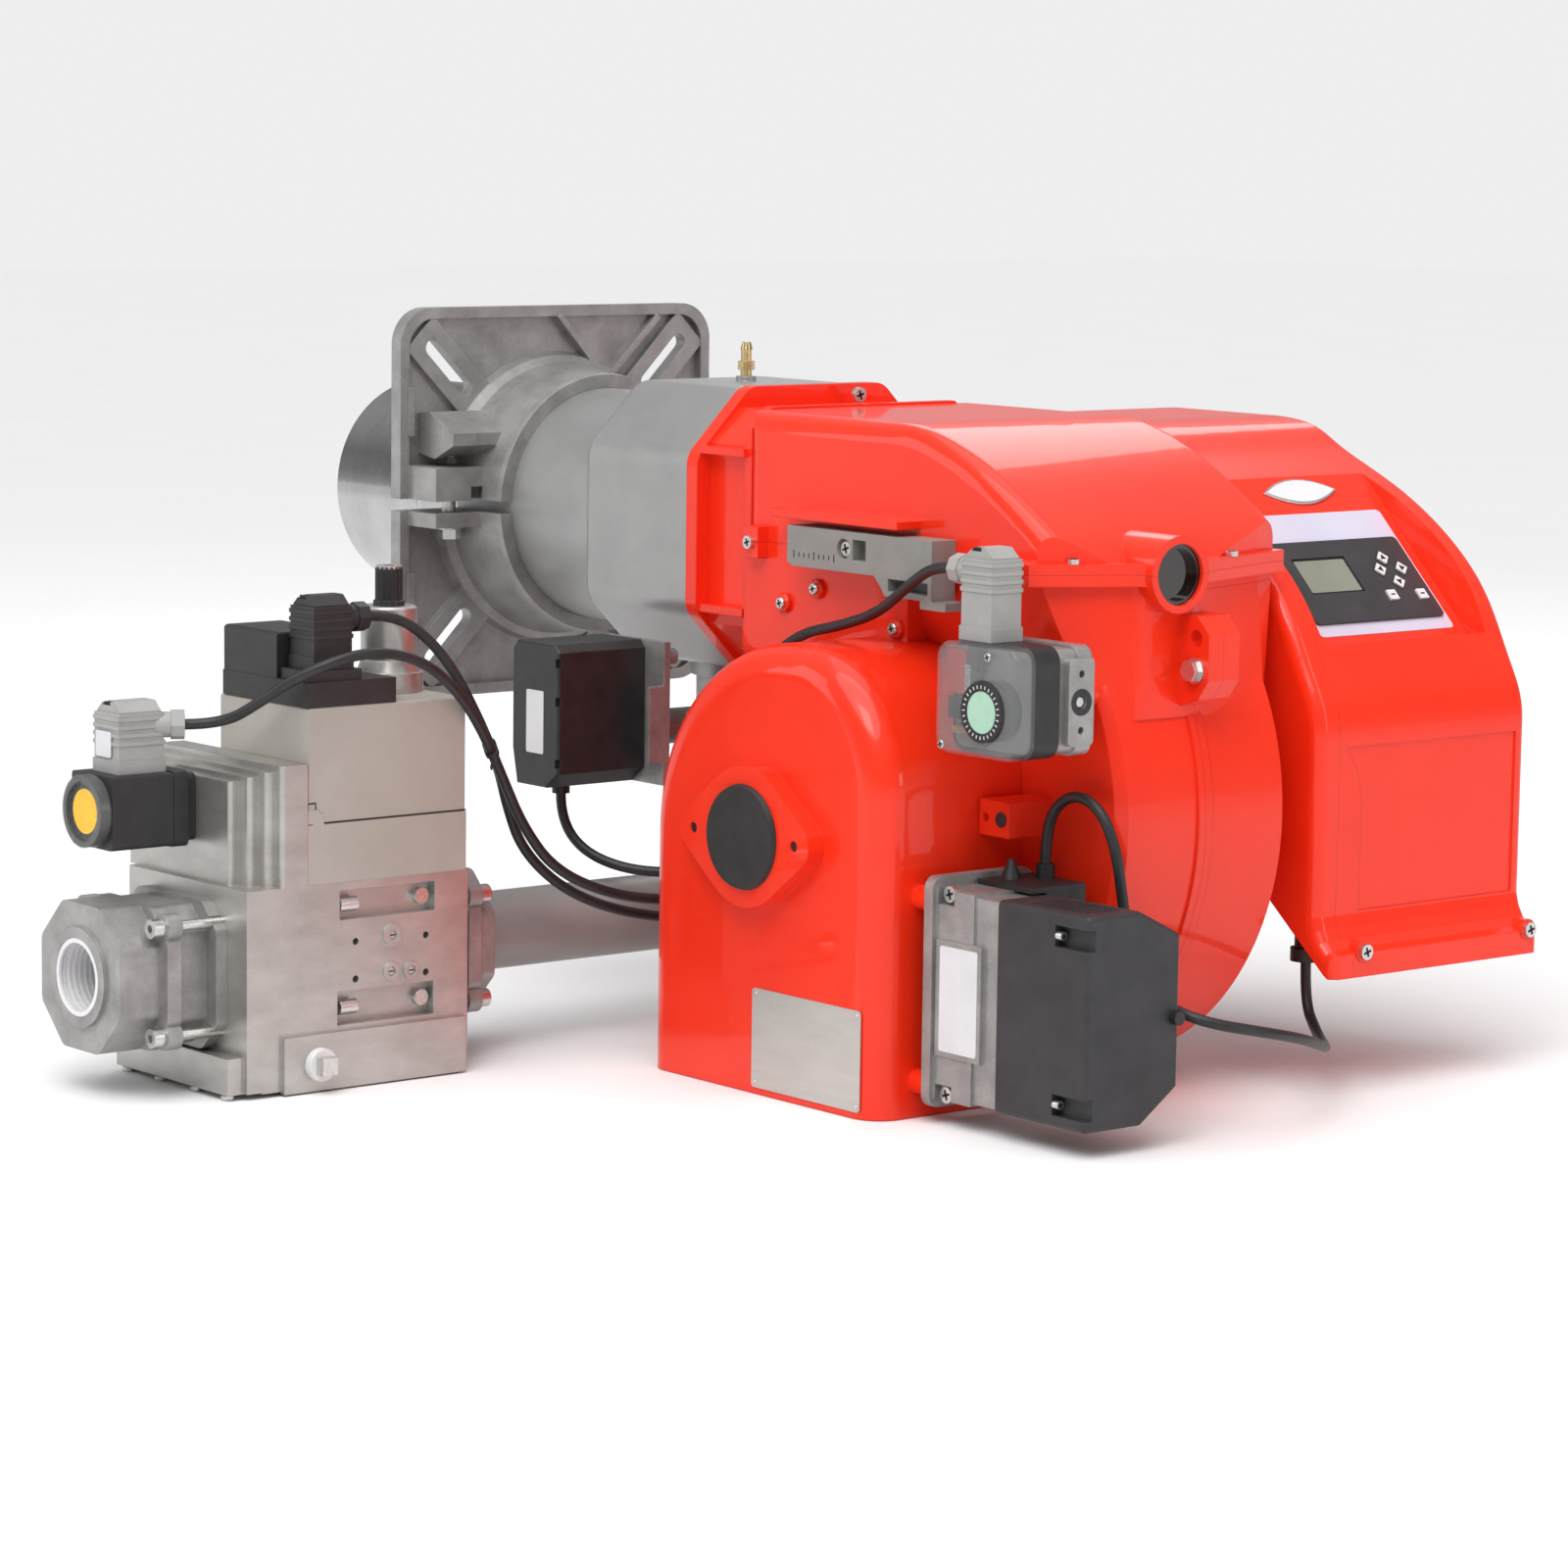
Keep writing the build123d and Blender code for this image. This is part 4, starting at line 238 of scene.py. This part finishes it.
# ------------------------------------------------------------------ shapes
def place(name, verts, faces, mat, body=ROOT, smooth=False):
    me = bpy.data.meshes.new(name)
    me.from_pydata([tuple(v) for v in verts], [], faces)
    me.validate()
    o = bpy.data.objects.new(name, me)
    bpy.context.scene.collection.objects.link(o)
    me.materials.append(mat)
    if smooth:
        for p in me.polygons:
            p.use_smooth = len(p.vertices) <= 4
    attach(o, body)
    return o


class Local:
    """A flat working plane: origin, two directions in it and its normal."""

    def __init__(self, origin, u, v):
        self.o, self.u, self.v = Vector(origin), Vector(u).normalized(), Vector(v).normalized()
        self.n = self.u.cross(self.v)

    def at(self, a, b, c=0.0):
        return self.o + self.u * a + self.v * b + self.n * c


SLOPE = Local((0.7085, 0.228, -0.0255), (0, 1, 0), (-1, 0, 1))


def near(y, x=0.0, z=0.0):
    return Local((x, y, z), (1, 0, 0), (0, 0, 1))      # normal -Y


def side(x, y=0.0, z=0.0):
    return Local((x, y, z), (0, 1, 0), (0, 0, 1))      # normal +X


def top(z, x=0.0, y=0.0):
    return Local((x, y, z), (1, 0, 0), (0, 1, 0))      # normal +Z


def round_rect(cx, cy, w, h, r, n=6):
    pts = []
    for sx, sy, a0 in ((1, -1, -90), (1, 1, 0), (-1, 1, 90), (-1, -1, 180)):
        for k in range(n + 1):
            a = math.radians(a0 + 90 * k / n)
            pts.append((cx + sx * (w / 2 - r) + r * math.cos(a), cy + sy * (h / 2 - r) + r * math.sin(a)))
    return pts


def circle(cx, cy, r, n=48, phase=0.0):
    return [(cx + r * math.cos(2 * math.pi * k / n + phase), cy + r * math.sin(2 * math.pi * k / n + phase))
            for k in range(n)]


def prism(name, plane, pts, c0, c1, mat, body=ROOT, inset=0.0):
    """Outline pts (metres, in the plane) raised from c0 to c1 along the normal.
    inset draws the top in a little, as a soft edge."""
    n = len(pts)
    cx, cy = sum(p[0] for p in pts) / n, sum(p[1] for p in pts) / n
    verts = [plane.at(a, b, c0) for a, b in pts]
    if inset:
        verts += [plane.at(a, b, c1 - inset) for a, b in pts]
        verts += [plane.at(cx + (a - cx) * (1 - inset / max(0.001, math.hypot(a - cx, b - cy))),
                           cy + (b - cy) * (1 - inset / max(0.001, math.hypot(a - cx, b - cy))), c1) for a, b in pts]
        rings = 3
    else:
        verts += [plane.at(a, b, c1) for a, b in pts]
        rings = 2
    faces = [tuple(range(n - 1, -1, -1)), tuple(range((rings - 1) * n, rings * n))]
    for r in range(rings - 1):
        for k in range(n):
            j = (k + 1) % n
            faces.append((r * n + k, r * n + j, (r + 1) * n + j, (r + 1) * n + k))
    return place(name, verts, faces, mat, body)


def ring(name, plane, cx, cy, r0, r1, c0, c1, mat, body=ROOT, n=64):
    verts, faces = [], []
    for r, c in ((r0, c0), (r1, c0), (r1, c1), (r0, c1)):
        verts += [plane.at(a, b, c) for a, b in circle(cx, cy, r, n)]
    for q in range(4):
        w = (q + 1) % 4
        for k in range(n):
            j = (k + 1) % n
            faces.append((q * n + k, q * n + j, w * n + j, w * n + k))
    return place(name, verts, faces, mat, body, smooth=False)


def cross_head(name, plane, cx, cy, c, size, body=ROOT, turn=0.3):
    """A dark flat cross on a screw head: painted shade standing in for the cross recess."""
    for i in range(2):
        a = turn + i * math.pi / 2
        ux, uy = math.cos(a) * size, math.sin(a) * size
        vx, vy = -math.sin(a) * size * 0.24, math.cos(a) * size * 0.24
        pts = [(cx - ux - vx, cy - uy - vy), (cx + ux - vx, cy + uy - vy), (cx + ux + vx, cy + uy + vy),
               (cx - ux + vx, cy - uy + vy)]
        prism(name + str(i), plane, pts, c - 0.0002, c + 0.00025, DARK, body)


# ------------------------------------------------------------------ control panel
prism("panel_sticker", SLOPE, round_rect(0.010, 0.0095, 0.144, 0.119, 0.004), 0.0, 0.0004, STICK)
# dark frame round the display: painted shade of the display's inset
prism("display_painted_inset_shade", SLOPE, round_rect(-0.0175, 0.0065, 0.0568, 0.0348, 0.0005), 0.0013, 0.00150, DARK)
prism("panel_display", SLOPE, round_rect(-0.0175, 0.0065, 0.0530, 0.0308, 0.001), 0.0013, 0.0018, LCD)
for k, (u, v) in enumerate(((0.049, 0.019), (0.039, 0.008), (0.062, 0.008), (0.0505, -0.005))):
    prism("key_ring%d" % k, SLOPE, [(u + 0.0072 * math.cos(a), v + 0.0072 * math.sin(a))
                                    for a in (0, math.pi / 2, math.pi, 1.5 * math.pi)], 0.0025, 0.00285, DARK)
names = ("key_up", "key_left", "key_right", "key_down")
for k, (u, v, a0) in enumerate(((0.049, 0.019, 90), (0.039, 0.008, 180), (0.062, 0.008, 0), (0.0505, -0.005, 270))):
    tri = [(u + 0.0034 * math.cos(math.radians(a0 + t)), v + 0.0034 * math.sin(math.radians(a0 + t)))
           for t in (0, 120, 240)]
    prism("key_arrow%d" % k, SLOPE, tri, 0.0041, 0.0043, DARK, names[k] + "_cap")
for nm, u, v in (("key_enter", 0.035, -0.017), ("key_info", 0.0666, -0.018)):
    prism(nm + "_mark", SLOPE, round_rect(u, v, 0.0045, 0.0014, 0.0004), 0.0041, 0.0043, DARK, nm + "_cap")
# lens-shaped badge without any mark
lens = []
for k in range(33):
    t = -1 + 2 * k / 32
    lens.append((0.010 + 0.039 * t, 0.090 - 0.0125 * (1 - t * t)))
for k in range(1, 32):
    t = 1 - 2 * k / 32
    lens.append((0.010 + 0.039 * t, 0.090 + 0.0125 * (1 - t * t)))
prism("panel_badge", SLOPE, lens, 0.0, 0.0022, ZINC, inset=0.0006)
lens2 = [(0.010 + (a - 0.010) * 0.93, 0.090 + (b - 0.090) * 0.86) for a, b in lens]
prism("panel_badge_face", SLOPE, lens2, 0.0021, 0.0026, WHITE, inset=0.0003)

# ------------------------------------------------------------------ labels, plates
prism("intake_plate", near(-0.220), round_rect(0.6135, -0.351, 0.123, 0.074, 0.003), 0.0, 0.0009, PLATE)
for x in (0.556, 0.671):
    for z in (-0.384, -0.318):
        prism("intake_plate_rivet", near(-0.220), circle(x, z, 0.0017, 16), 0.0008, 0.0018, ZINC, inset=0.0005)
prism("servo_label", near(-0.1885), round_rect(0.7435, -0.300, 0.040, 0.076, 0.002), 0.0, 0.0004, LABEL)
prism("actuator_label", near(-0.212), round_rect(0.270, -0.1475, 0.022, 0.049, 0.0015), 0.0, 0.0004, LABEL)
prism("plug_label", near(-0.5949), round_rect(0.261, -0.139, 0.021, 0.019, 0.002), 0.0, 0.0003, LABEL)
# dark blocks in the plug tops: painted shade in the slots
for x, y, z in ((0.738, -0.1714, 0.022), (0.261, -0.5895, -0.108), (0.338, -0.471, -0.030)):
    prism("plug_slot_painted_shade", top(z - 0.0029), round_rect(x, y, 0.0106, 0.0030, 0.0003), 0.0, 0.0024, DARK)

# ------------------------------------------------------------------ pressure switches
prism("gas_dial_face", near(-0.6112), circle(0.263, -0.187, 0.0165, 48), 0.0, 0.0009, YELLOW, "gas_dial")
ring("gas_dial_rim", near(-0.606), 0.263, -0.187, 0.0225, 0.0262, 0.0005, 0.0088, BLACK, "gas_dial")
for k in range(24):
    a = 2 * math.pi * k / 24
    w, h = (0.0007, 0.0022) if k % 2 else (0.0010, 0.0032)
    c, s = math.cos(a), math.sin(a)
    r = 0.0192
    pts = [(0.263 + r * c - w * s, -0.187 + r * s + w * c), (0.263 + (r + h) * c - w * s, -0.187 + (r + h) * s + w * c),
           (0.263 + (r + h) * c + w * s, -0.187 + (r + h) * s - w * c), (0.263 + r * c + w * s, -0.187 + r * s - w * c)]
    prism("gas_dial_tick", near(-0.6112), pts, 0.0, 0.0006, BLACK, "gas_dial")
prism("air_dial_face", near(-0.1913), circle(0.766, -0.091, 0.0149, 56), 0.0, 0.0005, GREEN, "air_dial")
ring("air_dial_scale", near(-0.192), 0.766, -0.091, 0.0152, 0.0212, -0.0002, 0.0003, BLACK, "air_dial")
for k in range(28):
    a = 2 * math.pi * k / 28
    w, h, r = 0.0004, 0.0024, 0.0168
    c, s = math.cos(a), math.sin(a)
    pts = [(0.766 + r * c - w * s, -0.091 + r * s + w * c), (0.766 + (r + h) * c - w * s, -0.091 + (r + h) * s + w * c),
           (0.766 + (r + h) * c + w * s, -0.091 + (r + h) * s - w * c), (0.766 + r * c + w * s, -0.091 + r * s - w * c)]
    prism("air_dial_tick", near(-0.1923), pts, 0.0, 0.0003, LABEL, "air_dial")
# what shows through the clear cover of the air switch
INNER = near(-0.172)
prism("air_inner_plate", near(-0.1718), round_rect(0.757, -0.084, 0.078, 0.072, 0.008), 0.0, 0.0010, HOLDER)
prism("air_micro_switch", INNER, round_rect(0.728, -0.066, 0.020, 0.030, 0.001), 0.0, 0.011, REDPL)
prism("air_terminal_a", INNER, round_rect(0.727, -0.092, 0.016, 0.016, 0.001), 0.0, 0.009, BLACK)
prism("air_terminal_b", INNER, round_rect(0.745, -0.056, 0.010, 0.018, 0.001), 0.0, 0.010, BLACK)
prism("air_contact", INNER, round_rect(0.733, -0.108, 0.026, 0.005, 0.001), 0.0, 0.007, COPPER)
prism("air_lever", INNER, round_rect(0.742, -0.080, 0.006, 0.040, 0.001), 0.0, 0.012, ZINC)
for x, z in ((0.722, -0.118), (0.770, -0.052)):
    prism("air_cover_screw", near(-0.190), circle(x, z, 0.0032, 20), -0.0005, 0.0012, ZINC, inset=0.0004)
    cross_head("air_cover_screw_x", near(-0.190), x, z, 0.0012, 0.0022)
ring("air_port_ring", side(0.802), -0.131, -0.084, 0.005, 0.0095, 0.0, 0.0014, BLACK)
prism("air_port_nut", side(0.7985), circle(-0.131, -0.084, 0.0042, 24), 0.0, 0.003, ZINC, inset=0.0008)

# ------------------------------------------------------------------ gas train trim
ring("inlet_cap_ring", near(-0.627), 0.275, -0.306, 0.0252, 0.0288, -0.0024, -0.0002, WHITE)
ring("inlet_cap_liner", near(-0.627), 0.275, -0.306, 0.0268, 0.0288, -0.062, -0.0024, WHITE)
for k in range(7):
    ring("inlet_thread%d" % k, near(-0.627), 0.275, -0.306, 0.0259, 0.0270, -0.006 - 0.0046 * k, -0.0042 - 0.0046 * k,
         WHITE)
prism("inlet_bottom", near(-0.564), circle(0.275, -0.306, 0.0285, 48), -0.002, 0.0, GREYPL)
# screws by the pressure nipple; the dark bar on each head is painted shade of its slot
for y, z in ((-0.411, -0.283), (-0.412, -0.310), (-0.394, -0.311)):
    prism("nipple_screw", side(0.3615), circle(y, z, 0.0033, 24), 0.0, 0.0028, ZINC, inset=0.0006)
    prism("nipple_screw_painted_slot_shade", side(0.3641), round_rect(y, z, 0.0048, 0.0010, 0.0002), 0.0, 0.0003, DARK)
prism("lower_plug", side(0.3672), round_rect(-0.478, -0.372, 0.0128, 0.0128, 0.002), 0.0, 0.0146, WHITE, inset=0.0012)
prism("lower_plug_collar", side(0.3672), circle(-0.478, -0.372, 0.0124, 40), 0.0, 0.0062, WHITE, inset=0.0010)
# black cap of the brake's adjusting screw
def lathe(name, plane, cx, cy, profile, mat, body=ROOT, n=48, flutes=0, depth=0.0):
    """A turned piece: (radius, height) pairs, with shallow flutes if asked."""
    verts, faces = [], []
    for rad, h in profile:
        for k in range(n):
            a = 2 * math.pi * k / n
            rr = rad - (depth if flutes and math.cos(a * flutes) < -0.2 and h > profile[0][1] + 0.001 else 0.0)
            verts.append(plane.at(cx + rr * math.cos(a), cy + rr * math.sin(a), h))
    for q in range(len(profile) - 1):
        for k in range(n):
            j = (k + 1) % n
            faces.append((q * n + k, q * n + j, (q + 1) * n + j, (q + 1) * n + k))
    m = len(profile)
    faces.append(tuple(range(n - 1, -1, -1)))
    faces.append(tuple(range((m - 1) * n, m * n)))
    return place(name, verts, faces, mat, body)


lathe("brake_cap_cover", top(-0.0458), 0.302, -0.372,
      [(0.0118, 0.0), (0.0118, 0.0035), (0.0104, 0.0042), (0.0104, 0.0270), (0.0096, 0.0290), (0.0070, 0.0297)], BLACK,
      "brake_cap", n=96, flutes=16, depth=0.0007)
# seams of the solenoid housing
for a, b, c, d in ((-0.4853, -0.478, -0.1795, -0.1805), (-0.478, -0.3438, -0.1945, -0.1955)):
    prism("housing_seam", side(0.3623), [(a, d), (b, d), (b, c), (a, c)], 0.0, 0.0003, DARK)
prism("housing_seam_riser", side(0.3623), [(-0.4785, -0.195), (-0.4778, -0.195), (-0.4778, -0.180), (-0.4785, -0.180)],
      0.0, 0.0003, DARK)

# ------------------------------------------------------------------ cable holder and screws
HOLD = near(-0.141)
for k in range(9):
    x = 0.496 + 0.0058 * k
    prism("holder_tick", HOLD, round_rect(x, -0.003, 0.0007, 0.006 if k % 4 == 0 else 0.0035, 0.0002), -0.0001, 0.0003,
          DARK)
prism("holder_screw", near(-0.136), circle(0.553, 0.005, 0.0062, 32), 0.0, 0.003, ZINC, inset=0.0010)
cross_head("holder_screw_x", near(-0.136), 0.553, 0.005, 0.0030, 0.0036)
cross_head("seam_screw_x", near(-0.1315), 0.428, 0.0, 0.0, 0.0030)
for x, y in ((0.7572, -0.099), (0.7688, 0.046)):
    cross_head("lip_screw_x", top(0.0115), x, y, 0.0, 0.0030)
cross_head("front_screw_x", side(0.370), 0.028, 0.104, 0.0, 0.0036)
for y in (0.150, 0.328):
    cross_head("cover_screw_x", side(0.8165), y, -0.287, 0.0, 0.0036)
for z in (-0.2255, -0.3705):
    cross_head("servo_base_screw_x", near(-0.184), 0.727, z, 0.0, 0.0038)
for z in (-0.239, -0.358):
    cross_head("servo_cover_screw_x", side(0.848), -0.184, z, 0.0, 0.0020)
# screws on the side wall of the casing
for x, z in ((0.589, -0.052), (0.498, -0.030), (0.459, -0.044)):
    prism("wall_screw_boss", near(-0.118), circle(x, z, 0.0075, 32), 0.0, 0.004, RED, inset=0.0012)
    prism("wall_screw", near(-0.122), circle(x, z, 0.0046, 28), 0.0, 0.0026, ZINC, inset=0.0009)
    cross_head("wall_screw_x", near(-0.122), x, z, 0.0026, 0.0026)
# dark discs sunk into the pads: painted shade of the holes
for dx in (-0.058, 0.058):
    prism("pad_hole_painted_shade", near(-0.235), circle(0.556 + dx, -0.201, 0.0036, 24), -0.002, -0.0015, DARK)
prism("block_plug", near(-0.126), circle(0.716, -0.178, 0.0055, 28), 0.0, 0.0016, PLUGR, inset=0.0006)

# ------------------------------------------------------------------ blast tube seam and rivets
for k in range(16):
    a = 2 * math.pi * k / 16 + 0.2
    c, s = math.cos(a), math.sin(a)
    pl = Local((-0.030, 0.0888 * c, 0.0888 * s), (1, 0, 0), (0, -s, c))
    prism("tube_rivet", pl, circle(0, 0, 0.0021, 16), 0.0, 0.0013, POLISH, inset=0.0006)

# ------------------------------------------------------------------ cables
ROUTES = {
    "gas_switch_cable": [(284, -540.359, -126), (298, -516.11, -126), (328, -504, -108), (358, -493, -88),
                         (377, -466, -73), (378, -428, -70), (377, -390, -81), (372, -356, -107), (362, -328, -138),
                         (350, -302, -174), (342, -276, -216), (346, -248, -252), (360, -200, -274), (372, -140, -281),
                         (373, -60, -284), (372, 20, -285), (374, 88, -280), (384, 144, -258), (402, 182, -218),
                         (424, 202, -170), (440, 208, -122), (440, 208, -82)],
    "valve_cable": [(341, -421.5, -48), (341, -400, -48), (344, -374, -60), (352, -350, -88), (354, -326, -130),
                    (343, -300, -168), (326, -280, -200), (322, -262, -238), (330, -226, -272), (346, -176, -292),
                    (358, -110, -300), (360, -34, -303), (362, 44, -304), (366, 112, -299), (378, 170, -274),
                    (398, 212, -230), (424, 232, -180), (440, 236, -126), (440, 236, -82)],
    "actuator_cable": [(264, -182, -206), (264, -182, -228), (282, -170, -254), (316, -144, -266), (346, -104, -264),
                       (357, -44, -263), (358, 24, -264), (364, 86, -256), (378, 134, -230), (402, 166, -190),
                       (426, 179, -148), (440, 180, -110), (440, 180, -82)],
    "air_switch_cable": [(704, -162, 4), (680, -162, 4), (640, -152, -14), (600, -146, -38), (550, -140, -52),
                         (500, -134, -62), (462, -131, -82), (432, -130, -118), (410, -130, -164), (396, -126, -210),
                         (382, -108, -242), (371, -64, -252), (368, 4, -250), (370, 64, -242), (382, 112, -218),
                         (404, 140, -182), (428, 151, -144), (440, 152, -110), (440, 152, -82)],
    "servo_cable": [(742, -106, -208), (742, -106, -186), (752, -106, -164), (774, -105, -154), (796, -103, -164),
                    (807, -99, -188), (809, -94, -220), (812, -91, -250), (824, -91, -278), (850, -90, -297),
                    (882, -78, -306), (896, -40, -314), (888, 12, -326), (860, 64, -342), (816, 108, -353),
                    (777, 139, -352), (753, 150, -334), (753, 150, -302)],
}


def spline_length(o):
    me = o.evaluated_get(bpy.context.evaluated_depsgraph_get()).to_mesh()
    return sum((me.vertices[e.vertices[0]].co - me.vertices[e.vertices[1]].co).length for e in me.edges)


for name, route in ROUTES.items():
    pts = [Vector(p) / 1000 for p in route]
    cu = bpy.data.curves.new("soft_" + name, "CURVE")
    cu.dimensions = "3D"
    cu.resolution_u = 12
    sp = cu.splines.new("NURBS")
    sp.points.add(len(pts) - 1)
    for q, p in zip(sp.points, pts):
        q.co = (*p, 1)
    sp.order_u = 3
    sp.use_endpoint_u = True
    o = bpy.data.objects.new("soft_" + name, cu)
    bpy.context.scene.collection.objects.link(o)
    bpy.context.view_layer.update()
    length = spline_length(o)
    cu.bevel_depth = 0.0040
    cu.bevel_resolution = 6
    cu.use_fill_caps = True
    cu.materials.append(RUBBER)
    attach(o, ROOT)
    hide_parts(name)


# cable tie round the two gas train cables, where they run side by side
TIE_A, TIE_B = Vector((0.356, -0.315, -0.156)), Vector((0.3485, -0.313, -0.149))
tie_axis = Vector((-12, 26, -37)).normalized()
across = TIE_A - TIE_B
across -= tie_axis * across.dot(tie_axis)
tie = Local((TIE_A + TIE_B) / 2, across, tie_axis.cross(across))


def strap(name, plane, half, r0, r1, w, mat, n=24):
    """A flat strap round two cables whose centres lie at +half and -half."""
    verts, faces = [], []
    for rad, c in ((r0, -w / 2), (r1, -w / 2), (r1, w / 2), (r0, w / 2)):
        for k in range(n):
            t = 2 * math.pi * (k + 0.5) / n
            shift = half if math.cos(t) > 0 else -half
            verts.append(plane.at(shift + rad * math.cos(t), rad * math.sin(t), c))
    for q in range(4):
        w2 = (q + 1) % 4
        for k in range(n):
            j = (k + 1) % n
            faces.append((q * n + k, q * n + j, w2 * n + j, w2 * n + k))
    return place(name, verts, faces, mat)


HALF_TIE = across.length / 2
strap("cable_tie", tie, HALF_TIE, 0.00405, 0.0053, 0.0034, BLACK)
prism("cable_tie_head", tie, [(HALF_TIE + 0.0035, -0.0026), (HALF_TIE + 0.0082, -0.0026), (HALF_TIE + 0.0082, 0.0026),
                              (HALF_TIE + 0.0035, 0.0026)], -0.0028, 0.0028, BLACK, inset=0.0005)
prism("cable_tie_tail", tie, [(HALF_TIE + 0.0075, 0.0), (HALF_TIE + 0.0175, 0.0040), (HALF_TIE + 0.0173, 0.0049),
                              (HALF_TIE + 0.0072, 0.0010)], -0.0016, 0.0016, BLACK)

# ------------------------------------------------------------------ floor and light
bpy.ops.mesh.primitive_plane_add(size=30, location=(0.3, -0.1, FLOOR - 0.0004))
floor = bpy.context.object
floor.name = "studio_floor"
fm, fnt, fp = new_material("studio_floor")
fn = noise(fnt, 3.0, 3)
fnt.links.new(mix_colour(fnt, ramp(fnt, fn.outputs["Fac"], 0, 1), (0.885, 0.885, 0.885), (0.895, 0.895, 0.895)),
              fp.inputs["Base Color"])
fp.inputs["Roughness"].default_value = 0.75
fp.inputs["Specular IOR Level"].default_value = 0.2
floor.data.materials.append(fm)

world = bpy.data.worlds.new("studio")
bpy.context.scene.world = world
world.use_nodes = True
wn = world.node_tree
wn.nodes.clear()
wout = wn.nodes.new("ShaderNodeOutputWorld")
bg = wn.nodes.new("ShaderNodeBackground")
wtc = wn.nodes.new("ShaderNodeTexCoord")
sep = wn.nodes.new("ShaderNodeSeparateXYZ")
cr = wn.nodes.new("ShaderNodeValToRGB")
stops = ((0.0, 0.62), (0.49, 0.62), (0.505, 0.46), (0.56, 0.30), (0.66, 0.24), (0.78, 0.42), (1.0, 0.62))
while len(cr.color_ramp.elements) < len(stops):
    cr.color_ramp.elements.new(0.5)
for e, (pos, v) in zip(cr.color_ramp.elements, stops):
    e.position = pos
    e.color = (v, v, v * 1.02, 1)
half = wn.nodes.new("ShaderNodeMapRange")
half.inputs["From Min"].default_value = -1
half.inputs["From Max"].default_value = 1
wn.links.new(wtc.outputs["Generated"], sep.inputs["Vector"])
wn.links.new(sep.outputs["Z"], half.inputs["Value"])
wn.links.new(half.outputs["Result"], cr.inputs["Fac"])
wn.links.new(cr.outputs["Color"], bg.inputs["Color"])
white = wn.nodes.new("ShaderNodeBackground")
white.inputs["Color"].default_value = (0.86, 0.86, 0.862, 1)
lp = wn.nodes.new("ShaderNodeLightPath")
mixw = wn.nodes.new("ShaderNodeMixShader")
wn.links.new(lp.outputs["Is Camera Ray"], mixw.inputs["Fac"])
wn.links.new(bg.outputs["Background"], mixw.inputs[1])
wn.links.new(white.outputs["Background"], mixw.inputs[2])
wn.links.new(mixw.outputs["Shader"], wout.inputs["Surface"])


def area(name, loc, target, size, power, colour=(1, 1, 1), size_y=None):
    li = bpy.data.lights.new(name, "AREA")
    li.shape = "RECTANGLE"
    li.size = size
    li.size_y = size_y or size
    li.energy = power
    li.color = colour
    o = bpy.data.objects.new(name, li)
    bpy.context.scene.collection.objects.link(o)
    d = Vector(target) - Vector(loc)
    o.matrix_world = Matrix.Translation(loc) @ d.to_track_quat("-Z", "Y").to_matrix().to_4x4()
    return o


area("key", (1.9, -2.2, 2.3), (0.4, -0.1, -0.1), 1.2, 22)
area("left_fill", (-1.5, -2.4, 1.0), (0.2, -0.2, -0.1), 1.2, 14, size_y=1.8)
area("right_strip", (3.0, 0.9, 0.9), (0.7, 0.1, -0.1), 0.5, 10, size_y=2.0)
area("top_soft", (0.3, 0.2, 2.6), (0.4, 0.0, 0.0), 2.0, 13)
area("rear_rim", (-1.4, 2.0, 1.9), (0.3, 0.0, 0.0), 1.4, 14)
sun = bpy.data.lights.new("soft_sun", "SUN")
sun.energy = 1.9
sun.angle = math.radians(60)
sun_o = bpy.data.objects.new("soft_sun", sun)
bpy.context.scene.collection.objects.link(sun_o)
sun_o.matrix_world = (Vector((0, 0, 0)) - Vector((0.45, -0.75, 1.6))).to_track_quat("-Z", "Y").to_matrix().to_4x4()

# ------------------------------------------------------------------ camera
YAW, PITCH, ROLL = math.radians(50.6), math.radians(7.74), math.radians(0.80)
f = Vector((-math.sin(YAW) * math.cos(PITCH), math.cos(YAW) * math.cos(PITCH), -math.sin(PITCH)))
r = Vector((math.cos(YAW), math.sin(YAW), 0))
u = r.cross(f)
r2 = r * math.cos(ROLL) + u * math.sin(ROLL)
u2 = u * math.cos(ROLL) - r * math.sin(ROLL)
bpy.context.scene.view_settings.view_transform = "Standard"
bpy.context.scene.view_settings.look = "None"
cam = bpy.data.cameras.new("photo_camera")
cam.sensor_width = 36
cam.lens = 114.75
cam_o = bpy.data.objects.new("photo_camera", cam)
bpy.context.scene.collection.objects.link(cam_o)
m = Matrix((r2, u2, -f)).transposed().to_4x4()
cam_o.matrix_world = Matrix.Translation((3.3589, -2.4991, 0.3281)) @ m
bpy.context.scene.camera = cam_o

bpy.context.view_layer.update()
